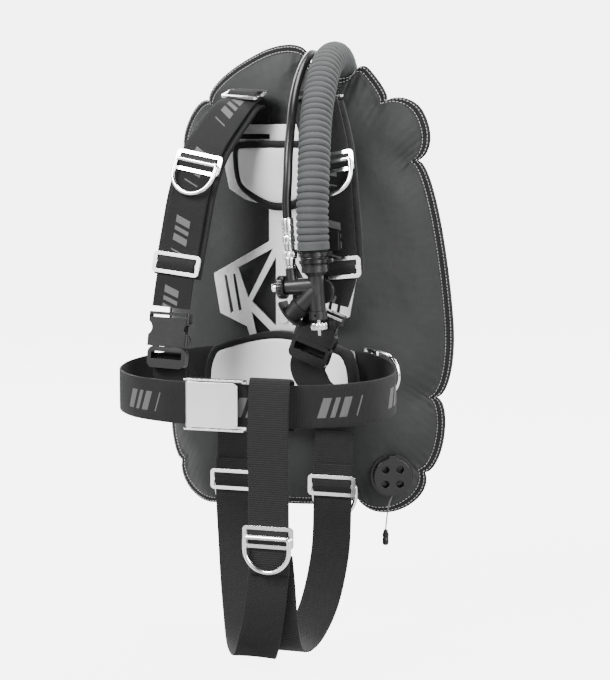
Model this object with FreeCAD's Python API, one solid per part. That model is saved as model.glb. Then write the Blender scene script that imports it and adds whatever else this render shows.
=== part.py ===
"""Back-mounted buoyancy compensator vest: backplate, wing, shoulder, waist and crotch harness, inflator.

Millimetres. +X is the wearer's left, +Y points back to the cylinder, +Z is up.
The origin is the middle of the two cylinder bolt holes, on the back face of the backplate.
"""
import FreeCAD, Part
import math
import os

V = FreeCAD.Vector
X_AXIS, Y_AXIS, Z_AXIS = V(1, 0, 0), V(0, 1, 0), V(0, 0, 1)

# Driving dimensions
WEB_W, WEB_T = 50.0, 2.4          # harness webbing
PAD_W, PAD_T = 62.0, 8.0          # shoulder pads
GAP = 0.3                         # left between neighbouring pieces
PLATE_T = 3.0
BOLT_SPACING, BOLT_R = 279.4, 4.5
GROMMET_R = 8.0
SCREW_Z, SCREW_R = 60.0, 3.0      # the two screws that hold the wing to the plate
WING_R, WING_T = 330.0, 26.0      # the wing wraps round the cylinder on this radius
WING_FRONT = 8.0                  # the wing's front face, on the centre line
BINDING_W, BINDING_T = 10.0, 5.0
SKIN = 4.7                        # wing fabric round the bladder
RING_W, RING_H, RING_WIRE = 60.0, 46.0, 2.75
GLIDE_W, GLIDE_H, GLIDE_T, GLIDE_BAR = 62.0, 26.0, 3.0, 4.4
HOSE_R, LP_R = 19.0, 5.5          # corrugated inflator hose, low-pressure hose
CORD_R = 0.9
VALVE_R = 27.0                    # dump valve

os.makedirs("parts", exist_ok=True)


def export(name, *solids):
    """One node: a single solid, or a group of separate ones."""
    shape = solids[0] if len(solids) == 1 else Part.makeCompound(list(solids))
    for solid in shape.Solids:
        if not solid.isValid() or solid.Volume <= 0:
            print("PROBLEM", name, solid.isValid(), solid.Volume)
    shape.exportStep(f"parts/{name}.step")


def unit(vector):
    return vector * (1.0 / vector.Length)


def placed(shape, at, x_dir, z_dir):
    """A copy of a shape drawn about the origin, with its x and z turned to the directions given."""
    z = unit(z_dir)
    x = unit(x_dir - z * x_dir.dot(z))
    y = z.cross(x)
    moved = shape.copy()
    moved.Placement = FreeCAD.Placement(FreeCAD.Matrix(
        x.x, y.x, z.x, at.x, x.y, y.y, z.y, at.y, x.z, y.z, z.z, at.z, 0, 0, 0, 1))
    return moved


def box(low, high):
    return Part.makeBox(high[0] - low[0], high[1] - low[1], high[2] - low[2], V(*low))


def rod(start, end, radius):
    return Part.makeCylinder(radius, (end - start).Length, start, end - start)


def prism_y(points, y_low, y_high):
    """A flat outline in X and Z, thickened from y_low to y_high."""
    corners = [V(x, y_low, z) for x, z in points]
    face = Part.Face(Part.makePolygon(corners + corners[:1]))
    return face.extrude(V(0, y_high - y_low, 0))


def mirrored(points):
    """Half an outline, from the top down on +X, closed by its mirror image."""
    return points + [(-x, z) for x, z in reversed(points) if x > 0]


def rounded(solid, direction, radius):
    """Fillets the straight edges that run along a direction."""
    edges = [e for e in solid.Edges if len(e.Vertexes) == 2
             and abs(abs(unit(e.Vertexes[1].Point - e.Vertexes[0].Point).dot(direction)) - 1) < 1e-6]
    return solid.makeFillet(radius, edges)


# Bands: webbing and pads

def frames(points, across):
    """(point, tangent, width direction, outward normal) at each point of a band."""
    found = []
    for i, p in enumerate(points):
        tangent = unit(points[min(i + 1, len(points) - 1)] - points[max(i - 1, 0)])
        width = unit(across - tangent * across.dot(tangent))
        found.append((p, tangent, width, tangent.cross(width)))
    return found


def band(points, across, width, thick, lift=0.0):
    """A flat strap along a route, closed by flat facets. lift moves its middle outwards.
    Its two broad faces are split along the same diagonals, so that straps laid on each other don't cross."""
    sections = []
    for p, _, w, n in frames(points, across):
        low, high = p + n * (lift - thick / 2), p + n * (lift + thick / 2)
        side = w * (width / 2)
        sections.append([low - side, low + side, high + side, high - side])
    loops = [sections[0][::-1], sections[-1]]
    for near, far in zip(sections, sections[1:]):
        for i in range(4):
            j = (i + 1) % 4
            if i == 2:
                loops += [[near[i], near[j], far[i]], [near[j], far[j], far[i]]]
            else:
                loops += [[near[i], near[j], far[j]], [near[i], far[j], far[i]]]
    faces = [Part.Face(Part.makePolygon(loop + loop[:1])) for loop in loops]
    return Part.makeSolid(Part.makeShell(faces))


def station(points, across, run):
    """The band's frame at a distance along its route."""
    rows = frames(points, across)
    for (p, _, w0, n0), (q, _, w1, n1) in zip(rows, rows[1:]):
        length = (q - p).Length
        if run <= length:
            t = run / length
            return p + (q - p) * t, unit(q - p), unit(w0 + (w1 - w0) * t), unit(n0 + (n1 - n0) * t)
        run -= length
    return rows[-1]


def fitted(shape, place, lift):
    """Sets hardware on a band: its x across the band, its z back up it, its -y outwards."""
    p, tangent, w, n = place
    return placed(shape, p + n * lift, w, tangent * -1)


def bar_axis(width, run):
    """The line a ring's bar lies on: the width direction, made square to the run."""
    return unit(width - run * width.dot(run))


# Hardware that repeats

def tri_glide():
    frame = box((-GLIDE_W / 2, -GLIDE_T / 2, -GLIDE_H / 2), (GLIDE_W / 2, GLIDE_T / 2, GLIDE_H / 2))
    frame = rounded(frame, Y_AXIS, 5.0)
    slot = (GLIDE_H - 3 * GLIDE_BAR) / 2
    for low in (-GLIDE_H / 2 + GLIDE_BAR, GLIDE_BAR / 2):
        frame = frame.cut(box((-WEB_W / 2 - 1, -GLIDE_T, low), (WEB_W / 2 + 1, GLIDE_T, low + slot)))
    return frame


def d_ring():
    """A straight bar along x at the origin, two short legs and a half round below it."""
    half = RING_W / 2 - RING_WIRE
    leg = RING_H - RING_WIRE * 2 - half
    ring = rod(V(-half, 0, 0), V(half, 0, 0), RING_WIRE)
    for side in (-half, half):
        ring = ring.fuse(rod(V(side, 0, 0), V(side, 0, -leg), RING_WIRE))
        ring = ring.fuse(Part.makeSphere(RING_WIRE, V(side, 0, 0)))
    bow = Part.makeTorus(half, RING_WIRE, V(0, 0, -leg), Y_AXIS)
    bow = bow.common(box((-100, -20, -leg - 100), (100, 20, -leg)))
    return ring.fuse(bow).removeSplitter()


# Wing

TOP_NOTCH = (118.0, 211.0)
SIDE_NOTCHES = [(154.0, 136.0), (176.0, -162.0), (164.0, -257.0)]
FOOT_NOTCH = (86.0, -288.0)
# (notch, top of the lobe that follows it), clockwise seen from the front
WING_LOBES = [
    ((-118.0, 211.0), (-40.0, 271.0)), ((22.0, 269.0), (54.0, 241.0)), ((84.0, 250.0), (97.0, 250.0)),
    (TOP_NOTCH, (160.0, 196.0)), (SIDE_NOTCHES[0], (194.0, -62.0)),
    (SIDE_NOTCHES[1], (185.0, -214.0)), (SIDE_NOTCHES[2], (136.0, -304.0)),
    (FOOT_NOTCH, (0.0, -299.0)), ((-86.0, -288.0), (-136.0, -306.0)),
    ((-170.0, -259.0), (-191.0, -214.0)), ((-180.0, -162.0), (-194.0, -62.0)),
    ((-154.0, 136.0), (-158.0, 178.0)),
]
WING_AXIS_Y = WING_FRONT + WING_R


def inset_point(x, z, inset):
    """Moves an outline point towards the wing's spine."""
    spine = max(-140.0, min(120.0, z))
    reach = math.hypot(x, z - spine)
    share = 1 - inset / reach
    return V(x * share, 0, spine + (z - spine) * share)


def wing_prism(inset):
    """The scalloped outline, one arc for each lobe, as a block through the wing's depth."""
    arcs = []
    for i, (notch, crown) in enumerate(WING_LOBES):
        following = WING_LOBES[(i + 1) % len(WING_LOBES)][0]
        arcs.append(Part.Arc(inset_point(*notch, inset), inset_point(*crown, inset),
                             inset_point(*following, inset)).toShape())
    face = Part.Face(Part.Wire(arcs))
    block = face.extrude(V(0, 200, 0))
    block.translate(V(0, -20, 0))
    return block


def wing_layer(outer, inner):
    """The space between two radii of the wing's curve."""
    base = V(0, WING_AXIS_Y, -400)
    return Part.makeCylinder(outer, 800, base).cut(Part.makeCylinder(inner, 800, base))


def wing_posts(bolt_radius, screw_radius):
    posts = [rod(V(0, -10, z), V(0, 80, z), bolt_radius) for z in (-BOLT_SPACING / 2, BOLT_SPACING / 2)]
    return posts + [rod(V(0, -10, z), V(0, 80, z), screw_radius) for z in (-SCREW_Z, SCREW_Z)]


def cut_all(shape, tools):
    for tool in tools:
        shape = shape.cut(tool)
    return shape


wing_inner_r = WING_R - WING_T
cavity = wing_prism(BINDING_W + 10).common(wing_layer(WING_R - SKIN, wing_inner_r + SKIN))
cavity = cut_all(cavity, wing_posts(16, 9))
wing_shell = wing_prism(BINDING_W + GAP).common(wing_layer(WING_R, wing_inner_r)).cut(cavity)
wing_shell = cut_all(wing_shell, wing_posts(GROMMET_R + GAP, SCREW_R + GAP))
bladder = wing_prism(BINDING_W + 10 + GAP).common(wing_layer(WING_R - SKIN - GAP, wing_inner_r + SKIN + GAP))
bladder = cut_all(bladder, wing_posts(16 + GAP, 9 + GAP))
mid_r = WING_R - WING_T / 2
binding = wing_prism(0).cut(wing_prism(BINDING_W)).common(
    wing_layer(mid_r + BINDING_T / 2, mid_r - BINDING_T / 2))
export("wing_edge_binding", binding)

grommets = []
for z in (-BOLT_SPACING / 2, BOLT_SPACING / 2):
    sleeve = rod(V(0, WING_FRONT - 1, z), V(0, WING_FRONT + WING_T + 1, z), GROMMET_R)
    for y in (WING_FRONT - 2, WING_FRONT + WING_T + GAP):
        sleeve = sleeve.fuse(rod(V(0, y, z), V(0, y + 1.6, z), GROMMET_R + 4))
    grommets.append(sleeve.cut(rod(V(0, -10, z), V(0, 80, z), BOLT_R + 1)))
export("wing_grommets", *grommets)

screws = []
for z in (-SCREW_Z, SCREW_Z):
    screw = rod(V(0, -PLATE_T - GAP, z), V(0, WING_FRONT + WING_T + 3, z), SCREW_R)
    screw = screw.fuse(rod(V(0, -PLATE_T - GAP - 2, z), V(0, -PLATE_T - GAP, z), 7))
    screws.append(screw.fuse(rod(V(0, WING_FRONT + WING_T + GAP, z), V(0, WING_FRONT + WING_T + 3, z), 8)))
export("wing_screws", *screws)

# Backplate: a head, a narrow spine, two cut-out arms and a foot

plate = prism_y(mirrored([
    (0, 181), (70, 181), (86, 172), (84, 150), (73, 101), (52, 88), (20, 79), (20, 36), (94, -6), (94, -10),
    (86, -56), (50, -72), (46, -84), (92, -99), (98, -132), (92, -172), (78, -180), (0, -180),
]), -PLATE_T, 0)
windows = [
    [(62, 2), (15, 27), (48, -36)],
    [(11, 16), (43, -40), (11, -70)],
    [(44, -53), (17, -78), (37, -83)],
]
slots = [
    [(80.5, -8), (77, -8), (68, -54), (72, -56)],
    [(69, -6), (65.5, -6), (57, -51), (61, -53)],
]
for side in (-1, 1):
    for outline in windows + slots:
        plate = plate.cut(prism_y([(side * x, z) for x, z in outline], -10, 10))
    for x, z, wide, high in ((46, 166, 27, 3), (46, 150, 27, 3), (84, -124, 3.5, 20)):
        x *= side
        plate = plate.cut(box((x - wide, -10, z - high), (x + wide, 10, z + high)))
for z in (-BOLT_SPACING / 2, BOLT_SPACING / 2):
    plate = plate.cut(rod(V(0, -10, z), V(0, 10, z), BOLT_R))
for z in (-SCREW_Z, SCREW_Z):
    plate = plate.cut(rod(V(0, -10, z), V(0, 10, z), SCREW_R + GAP))
export("backplate", plate)

PANEL_T = 2.5
UPPER_PAD = mirrored([(0, 161), (58, 161), (64, 154), (61, 112), (50, 96), (18, 76), (0, 74)])
UPPER_PANEL = mirrored([(0, 152), (53, 152), (56, 148), (54, 112), (46, 102), (16, 86), (0, 84)])
LOWER_PAD = mirrored([(0, -74), (30, -78), (78, -92), (92, -98), (102, -130), (98, -184), (80, -190), (0, -192)])
LOWER_PANEL = mirrored([(0, -83), (28, -86), (72, -99), (84, -104), (92, -131), (88, -176), (76, -181), (0, -182)])
PAD_FACE = {"upper": -19.0, "lower": -23.0}
for name, pad, panel, hole_z in (("upper", UPPER_PAD, UPPER_PANEL, BOLT_SPACING / 2),
                                 ("lower", LOWER_PAD, LOWER_PANEL, -BOLT_SPACING / 2)):
    face = PAD_FACE[name]
    foam = prism_y(pad, face, -PLATE_T - GAP)
    foam = foam.cut(rod(V(0, face + 3, hole_z), V(0, 10, hole_z), 11))
    export(f"{name}_pad", foam)
    export(f"{name}_pad_panel", prism_y(panel, face - GAP - PANEL_T, face - GAP))

# Shoulder straps

RIGHT_ROUTE = [V(-46, 2.2, 120), V(-46, 2.2, 178), V(-46, 1, 196), V(-47, -10, 206), V(-55, -28, 198),
               V(-69, -48, 172), V(-82, -66, 140), V(-91, -80, 98), V(-98, -89, 46), V(-104, -98, -4),
               V(-107, -105, -42)]
LEFT_ROUTE = [V(46, 2.2, 120), V(46, 2.2, 178), V(46, 1, 196), V(47, -10, 206), V(55, -28, 198),
              V(69, -48, 172), V(82, -66, 140), V(91, -80, 98), V(98, -88, 46), V(102, -94, 6),
              V(94, -99, -30)]
PAD_FROM, PAD_TO = 3, 10
WEB_LIFT = PAD_T / 2 + GAP * 3 + WEB_T / 2
GLIDE_LIFT = WEB_LIFT + WEB_T / 2 + GAP * 3 + GLIDE_T / 2
RING_LIFT = GLIDE_LIFT + GLIDE_T / 2 + GAP + RING_WIRE
TOP_GLIDE_RUN, RING_RUN, LOW_GLIDE_RUN = 94.0, 197.0, 322.0

FEMALE_W, FEMALE_H, FEMALE_T = 54.0, 42.0, 14.0
MALE_W, MALE_T = 44.0, 8.4
BUCKLE_TILT = {"right": V(-0.04, -0.14, -0.99), "left": V(-0.34, -0.02, -0.94)}
BUCKLE_TOP = {"right": V(-107, -110, -47), "left": V(89.5, -104.5, -37)}


def buckle_female():
    """Open below, a window in each side, a webbing bar at the top. z runs down from 0."""
    shell = box((-FEMALE_W / 2, -FEMALE_T / 2, -FEMALE_H), (FEMALE_W / 2, FEMALE_T / 2, 0))
    shell = rounded(shell, Z_AXIS, 4.0)
    shell = shell.cut(box((-MALE_W / 2 - 1, -MALE_T / 2 - 0.5, -FEMALE_H - 1), (MALE_W / 2 + 1, MALE_T / 2 + 0.5, -9)))
    for side in (-1, 1):
        x = side * FEMALE_W / 2
        shell = shell.cut(Part.makeCylinder(9, 40, V(x + side * 3, -20, -20), Y_AXIS))
    return shell.cut(box((-WEB_W / 2 - 0.5, -FEMALE_T, -6.5), (WEB_W / 2 + 0.5, FEMALE_T, -3.5)))


def buckle_male():
    """Two spring arms and a guide that slide up into the female half, over a webbing tail plate."""
    low = -FEMALE_H - GAP
    plate_end = box((-MALE_W / 2 - 3, -6, low - 26), (MALE_W / 2 + 3, 6, low))
    plate_end = rounded(plate_end, Y_AXIS, 8.0)
    plate_end = plate_end.cut(box((-20, -20, low - 15), (20, 20, low - 6)))
    guide = box((-4, -MALE_T / 2, low - 1), (4, MALE_T / 2, -14))
    male = plate_end.fuse(guide)
    for side in (-1, 1):
        arm = prism_y([(side * 14, low - 1), (side * 20, low - 1), (side * 22, -26), (side * 22, -16),
                       (side * 16, -12), (side * 16, -26)], -MALE_T / 2, MALE_T / 2)
        male = male.fuse(arm)
    return male.removeSplitter()


glides = []
for name, route in (("right", RIGHT_ROUTE), ("left", LEFT_ROUTE)):
    export(f"{name}_shoulder_pad", band(route[PAD_FROM:PAD_TO], X_AXIS, PAD_W, PAD_T))
    over = band(route[PAD_FROM:], X_AXIS, WEB_W, WEB_T, WEB_LIFT)
    tail = band(route[:PAD_FROM], X_AXIS, WEB_W, WEB_T)
    export(f"{name}_shoulder_webbing", over, tail)
    for run, extra in ((TOP_GLIDE_RUN, 4), (RING_RUN, 0), (LOW_GLIDE_RUN, 0)):
        glides.append(fitted(tri_glide(), station(route, X_AXIS, run), GLIDE_LIFT + extra))
    export(f"{name}_shoulder_d_ring", fitted(d_ring(), station(route, X_AXIS, RING_RUN), RING_LIFT))
    down = unit(BUCKLE_TILT[name])
    export(f"{name}_buckle_female", placed(buckle_female(), BUCKLE_TOP[name], X_AXIS, down * -1))
    export(f"{name}_buckle_male", placed(buckle_male(), BUCKLE_TOP[name], X_AXIS, down * -1))
    place = station(route, X_AXIS, RING_RUN)
    print(name, "ring pivot", place[0] + place[3] * RING_LIFT, "axis", bar_axis(place[2], place[1]))


def from_buckle(name, back, down):
    """A point behind a buckle's middle plane, and down from its top."""
    tilt = unit(BUCKLE_TILT[name])
    across = unit(X_AXIS - tilt * X_AXIS.dot(tilt))
    return BUCKLE_TOP[name] + tilt * down + across.cross(tilt) * back


TAIL_BACK = 8 + GAP + WEB_T / 2
lower_webs = []
for name, ends in (("right", [V(-112, -92, -136), V(-113, -62, -145), V(-112, -35, -143)]),
                   ("left", [V(72, -82, -133), V(94, -62, -144), V(104, -44, -144)])):
    route = [from_buckle(name, TAIL_BACK, 50), from_buckle(name, TAIL_BACK, 64),
             from_buckle(name, TAIL_BACK + 5, 80)] + ends
    lower_webs.append(band(route, X_AXIS, WEB_W - 6, WEB_T))
export("lower_webbing", *lower_webs)

# Waist belt

BELT_BACK_Z, BELT_FRONT_Z = -124.0, -143.0
BELT_Y, BUCKLE_X = -206.0, (-47.0, 27.0)
BELT_SIDE = [(70, 2.2, -124), (100, 2.2, -124), (122, -12, -126), (147, -38, -129), (166, -72, -133),
             (172, -104, -137), (161, -142, -140), (128, -177, -142), (84, -197, -143), (60, -203, -143)]
right_belt = [V(-x, y, z) for x, y, z in BELT_SIDE] + [V(-48.5, BELT_Y, BELT_FRONT_Z)]
left_belt = [V(x, y, z) for x, y, z in BELT_SIDE] + [V(28.5, BELT_Y, BELT_FRONT_Z)]
export("right_waist_belt", band(right_belt, Z_AXIS, WEB_W, WEB_T))
export("left_waist_belt", band(left_belt[::-1], Z_AXIS, WEB_W, WEB_T))

FRAME_H, WALL = 60.0, 2.0
FLANGE = 10.0
frame_base = box((BUCKLE_X[0], BELT_Y, BELT_FRONT_Z - FRAME_H / 2),
                 (BUCKLE_X[1], BELT_Y + WALL, BELT_FRONT_Z + FRAME_H / 2))
frame = frame_base.cut(box((-12, -300, BELT_FRONT_Z - 20), (12, 0, BELT_FRONT_Z + 20)))
for z in (BELT_FRONT_Z - FRAME_H / 2, BELT_FRONT_Z + FRAME_H / 2 - WALL):
    frame = frame.fuse(box((BUCKLE_X[0], BELT_Y - FLANGE, z), (BUCKLE_X[1], BELT_Y + WALL, z + WALL)))
PIN_R, LEVER_H = 1.6, 53.0
hinge = V(BUCKLE_X[0] + 5, BELT_Y - 6.5, 0)
pin_axis = rod(V(hinge.x, hinge.y, BELT_FRONT_Z - FRAME_H / 2 - 0.5),
               V(hinge.x, hinge.y, BELT_FRONT_Z + FRAME_H / 2 + 0.5), PIN_R)
pin_hole = rod(V(hinge.x, hinge.y, -300), V(hinge.x, hinge.y, 0), PIN_R + 0.05)
export("waist_buckle_frame", frame.cut(pin_hole).removeSplitter())
export("waist_buckle_pin", pin_axis)
barrel = rod(V(hinge.x, hinge.y, BELT_FRONT_Z - LEVER_H / 2), V(hinge.x, hinge.y, BELT_FRONT_Z + LEVER_H / 2), 3.6)
lever = box((hinge.x, hinge.y - 3.6, BELT_FRONT_Z - LEVER_H / 2), (hinge.x + 62, hinge.y - 2.0, BELT_FRONT_Z + LEVER_H / 2))
lever_corners = [e for e in lever.Edges if abs(e.CenterOfMass.x - hinge.x - 62) < 1e-6 and e.Length < 2]
lever = lever.makeFillet(6.0, lever_corners).fuse(barrel).cut(pin_hole)
export("waist_buckle_lever", lever.removeSplitter())

belt_place = station(left_belt, Z_AXIS * -1, 43.0)
glides.append(fitted(tri_glide(), belt_place, WEB_T / 2 + GAP + GLIDE_T / 2))
belt_point, belt_run, belt_down, belt_out = belt_place
waist_at = belt_point + belt_out * (WEB_T / 2 + GAP * 2 + GLIDE_T + RING_WIRE)
RING_SWUNG = math.radians(12)
ring_dir = belt_run * math.cos(RING_SWUNG) + belt_out * math.sin(RING_SWUNG)
export("waist_d_ring", placed(d_ring(), waist_at, belt_down, ring_dir * -1))
print("waist ring pivot", waist_at, "axis", bar_axis(belt_down, ring_dir))

# Crotch strap: one strap in front, two behind

FRONT_X = 57.0
front_route = [V(FRONT_X, -210, -116), V(FRONT_X, -213.5, -150), V(FRONT_X, -214, -190), V(FRONT_X, -213, -260),
               V(FRONT_X, -211, -338)]
loop_back = [V(FRONT_X, -192, -172), V(FRONT_X, -191, -143), V(FRONT_X, -193, -117)]
front_strap = band(front_route, X_AXIS, WEB_W, WEB_T)
crown = band([V(FRONT_X, -209.2, -114.5), V(FRONT_X, -201, -112.2), V(FRONT_X, -193, -114.5)], X_AXIS, WEB_W, WEB_T)
export("crotch_front_strap", front_strap, crown, band(loop_back, X_AXIS, WEB_W, WEB_T))

rear_right = [V(-63, -14, -240), V(-63, -15, -290), V(-56, -24, -350), V(-40, -52, -408), V(-18, -92, -448),
              V(10, -140, -456), V(32, -182, -432), V(47, -201, -386), V(54, -206.5, -345), V(56, -208, -318)]
rear_left = [V(68, -14, -240), V(68, -15, -290), V(68, -24, -350), V(64, -50, -405), V(58, -88, -438),
             V(56, -132, -446), V(58, -170, -432), V(60, -191, -396), V(60, -199.5, -352), V(58, -202.5, -318)]
for name, route in (("right", rear_right), ("left", rear_left)):
    x = route[0].x
    anchor = band([V(x, -8, -197), V(x, -9, -216), V(x, -10.5, -262)], X_AXIS, WEB_W, WEB_T)
    export(f"crotch_rear_strap_{name}", band(route, X_AXIS, WEB_W, WEB_T), anchor)

crotch_place = station(front_route, X_AXIS, 178.0)
crotch_lift = WEB_T / 2 + GAP + GLIDE_T / 2
glides.append(fitted(tri_glide(), crotch_place, crotch_lift))
ring_lift = crotch_lift + GLIDE_T / 2 + GAP + RING_WIRE
export("crotch_d_ring", fitted(d_ring(), crotch_place, ring_lift))
print("crotch ring pivot", crotch_place[0] + crotch_place[3] * ring_lift,
      "axis", bar_axis(crotch_place[2], crotch_place[1]))
for name, route in (("right", rear_right), ("left", rear_left)):
    place = station(route, X_AXIS, 26.0)
    glides.append(fitted(tri_glide(), place, crotch_lift))
    back_lift = -(WEB_T / 2 + GAP + RING_WIRE) - 4.2
    export(f"{name}_butt_d_ring", fitted(d_ring(), place, back_lift))
    print(name, "butt ring pivot", place[0] + place[3] * back_lift, "axis", bar_axis(place[2], place[1]))
export("tri_glides", *glides)

# Hoses: straight runs joined by tangent arcs, each arc as large as its two runs allow

def tube(name, points, radius):
    edges, start, radii = [], points[0], []
    for before, p, after in zip(points, points[1:], points[2:]):
        a, b = unit(before - p), unit(after - p)
        half = (math.pi - math.acos(max(-1, min(1, a.dot(b))))) / 2
        cut_back = 0.45 * min((before - p).Length, (after - p).Length)
        arc_radius = cut_back / math.tan(half)
        radii.append(round(arc_radius))
        first, last = p + a * cut_back, p + b * cut_back
        middle = p + unit(a + b) * (arc_radius / math.cos(half) - arc_radius)
        edges += [Part.LineSegment(start, first).toShape(), Part.Arc(first, middle, last).toShape()]
        start = last
    edges.append(Part.LineSegment(start, points[-1]).toShape())
    path = Part.Wire(edges)
    circle = Part.Wire(Part.makeCircle(radius, points[0], points[1] - points[0]))
    solid = path.makePipeShell([circle], True, True)
    expected = math.pi * radius ** 2 * path.Length
    print(name, "length", round(path.Length, 1), "volume ratio", round(solid.Volume / expected, 4), "radii", radii)
    return solid


# The inflator stands on its own axis: its origin is where the corrugated hose ends, its z runs back up the hose
INFLATOR_AT, INFLATOR_UP = V(82.5, -128, 34), V(-0.075, 0, 1)


def on_inflator(shape):
    return placed(shape, INFLATOR_AT, X_AXIS, INFLATOR_UP)


def inflator_point(x, y, z):
    up = unit(INFLATOR_UP)
    across = unit(X_AXIS - up * X_AXIS.dot(up))
    return INFLATOR_AT + across * x + Y_AXIS * y + up * z


def ring(axis_from, axis_to, outer, inner):
    return rod(axis_from, axis_to, outer).cut(rod(axis_from, axis_to, inner))


HOSE_ROUTE = [
    V(57, 62, 192), V(57, 62, 212), V(57, 62.8, 232.7), V(57.4, 51.5, 252.2), V(58.4, 32, 263.5),
    V(60, 9, 263.5), V(62, -14, 257.5), V(64, -36, 243.5), V(66, -55, 225), V(68, -73, 202), V(71.5, -91, 176),
    V(75.5, -106, 148), V(78.5, -117.5, 118), V(80, -125, 89), inflator_point(0, 0, 26), INFLATOR_AT]
CUFF_L = 18.0
hose = tube("corrugated hose", HOSE_ROUTE, HOSE_R)
cuff = ring(V(0, 0, -CUFF_L), V(0, 0, -GAP), 16.5, 14.8)
export("corrugated_hose", hose)
export("hose_cuff", on_inflator(cuff))

elbow_out = unit(V(-57, WING_AXIS_Y - 40, 0))
elbow_at = V(57, 62, 166)
elbow = rod(V(57, 62, 165), V(57, 62, 192), 17)
elbow = elbow.fuse(rod(elbow_at - elbow_out * 20, elbow_at, 15)).fuse(Part.makeSphere(17, V(57, 62, 168)))
elbow_hole = rod(elbow_at - elbow_out * 40, elbow_at, 12)
elbow = elbow.fuse(rod(elbow_at - elbow_out * 21, elbow_at - elbow_out * 18, 24))
export("hose_elbow", elbow.removeSplitter())
export("hose_ties_upper", *[ring(V(57, 62, z), V(57, 62, z + 4), 20.6, HOSE_R + 0.4) for z in (195, 202)])
lower_ties = []
for z in (-7.5, -15.5):
    tie = ring(V(0, 0, z), V(0, 0, z + 4), 18.3, 16.8)
    lower_ties.append(on_inflator(tie.fuse(box((17.4, -3, z - 0.5), (22.5, 3, z + 4.5))).removeSplitter()))
export("hose_ties_lower", *lower_ties)

# Inflator body: an upright barrel, a crosswise valve barrel and a slanting mouth tube
BARREL_R, VALVE_Z, STUB_X = 9.5, -42.0, -30.0
MOUTH_DIR = unit(V(-0.773, 0, -0.635))
MOUTH_AT, MOUTH_L = V(0, 0, -48), 32.0
body = rod(V(0, 0, -26), V(0, 0, -GAP), 14.5).fuse(rod(V(0, 0, -26), V(0, 0, -CUFF_L - GAP), 16))
body = body.fuse(Part.makeCone(BARREL_R, 14, 5, V(0, 0, -31), Z_AXIS)).fuse(rod(V(0, 0, -72), V(0, 0, -28), BARREL_R))
body = body.fuse(rod(V(-37, 0, VALVE_Z), V(0, 0, VALVE_Z), BARREL_R))
body = body.fuse(rod(MOUTH_AT, MOUTH_AT + MOUTH_DIR * MOUTH_L, 10.5))
body = body.fuse(rod(V(STUB_X, 0, VALVE_Z), V(STUB_X, 0, -20), 6.6))
body = body.cut(rod(V(-40, 0, VALVE_Z), V(-12, 0, VALVE_Z), 5.6))
body = body.cut(rod(V(0, 0, -73), V(0, 0, -58), 6.5))
body = body.cut(rod(MOUTH_AT + MOUTH_DIR * 14, MOUTH_AT + MOUTH_DIR * (MOUTH_L + 1), 8))
export("inflator_body", on_inflator(body.removeSplitter()))

inlet = rod(V(STUB_X, 0, -20 + GAP), V(STUB_X, 0, 6), 3.6).fuse(rod(V(STUB_X, 0, -20 + GAP), V(STUB_X, 0, -17), 5.6))
export("lp_inlet_nipple", on_inflator(inlet.removeSplitter()))
cap = rod(V(-47, 0, VALVE_Z), V(-37 - GAP, 0, VALVE_Z), 14).cut(rod(V(-48, 0, VALVE_Z), V(-37, 0, VALVE_Z), 5.6))
export("inflate_end_cap", on_inflator(cap))
button = rod(V(-55, 0, VALVE_Z), V(-40, 0, VALVE_Z), 5.2).fuse(rod(V(-40, 0, VALVE_Z), V(-20.5, 0, VALVE_Z), 1.8))
export("inflate_button", on_inflator(button.removeSplitter()))
export("inflate_spring", on_inflator(ring(V(-40 + GAP, 0, VALVE_Z), V(-24, 0, VALVE_Z), 4.6, 3.0)))
seat = rod(V(-16, 0, VALVE_Z), V(-12 - GAP, 0, VALVE_Z), 5.4)
export("inflate_valve_core", on_inflator(seat))

collar = ring(V(0, 0, -82), V(0, 0, -72 - GAP), 10.8, 6.5)
collar = collar.cut(rod(V(0, -20, -77), V(0, -8, -77), 1.6))
export("deflate_collar", on_inflator(collar))
knob = rod(V(0, 0, -94), V(0, 0, -86), 10.0)
for turn in range(12):
    angle = math.tau * turn / 12
    knob = knob.cut(rod(V(10.6 * math.cos(angle), 10.6 * math.sin(angle), -95),
                        V(10.6 * math.cos(angle), 10.6 * math.sin(angle), -85), 1.5))
knob = knob.fuse(rod(V(0, 0, -101), V(0, 0, -93), 1.8)).fuse(rod(V(0, 0, -86), V(0, 0, -64), 2.0))
export("deflate_button", on_inflator(knob.removeSplitter()))
export("deflate_spring", on_inflator(ring(V(0, 0, -77), V(0, 0, -58 - GAP), 5.4, 3.6)))

flange_at = MOUTH_AT + MOUTH_DIR * (MOUTH_L + GAP)
flange = rod(flange_at, flange_at + MOUTH_DIR * 13, 11.5)
lip = Part.makeCylinder(46, 40, V(0, -20, 0), Y_AXIS).cut(Part.makeCylinder(43.5, 40, V(0, -20, 0), Y_AXIS))
lip = lip.common(box((-19, -14, 30), (19, 14, 60)))
lip = placed(lip, flange_at - MOUTH_DIR * 32, Y_AXIS.cross(MOUTH_DIR), MOUTH_DIR)
sleeve = ring(MOUTH_AT + MOUTH_DIR * 26, flange_at, 12.5, 10.8)
mouthpiece = flange.fuse(sleeve).fuse(lip).cut(rod(flange_at - MOUTH_DIR, flange_at + MOUTH_DIR * 20, 8))
export("mouthpiece", on_inflator(mouthpiece.removeSplitter()))
export("exhaust_cover", on_inflator(rod(V(3, BARREL_R + 1, -50), V(3, BARREL_R + 8, -50), 15)))

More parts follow.
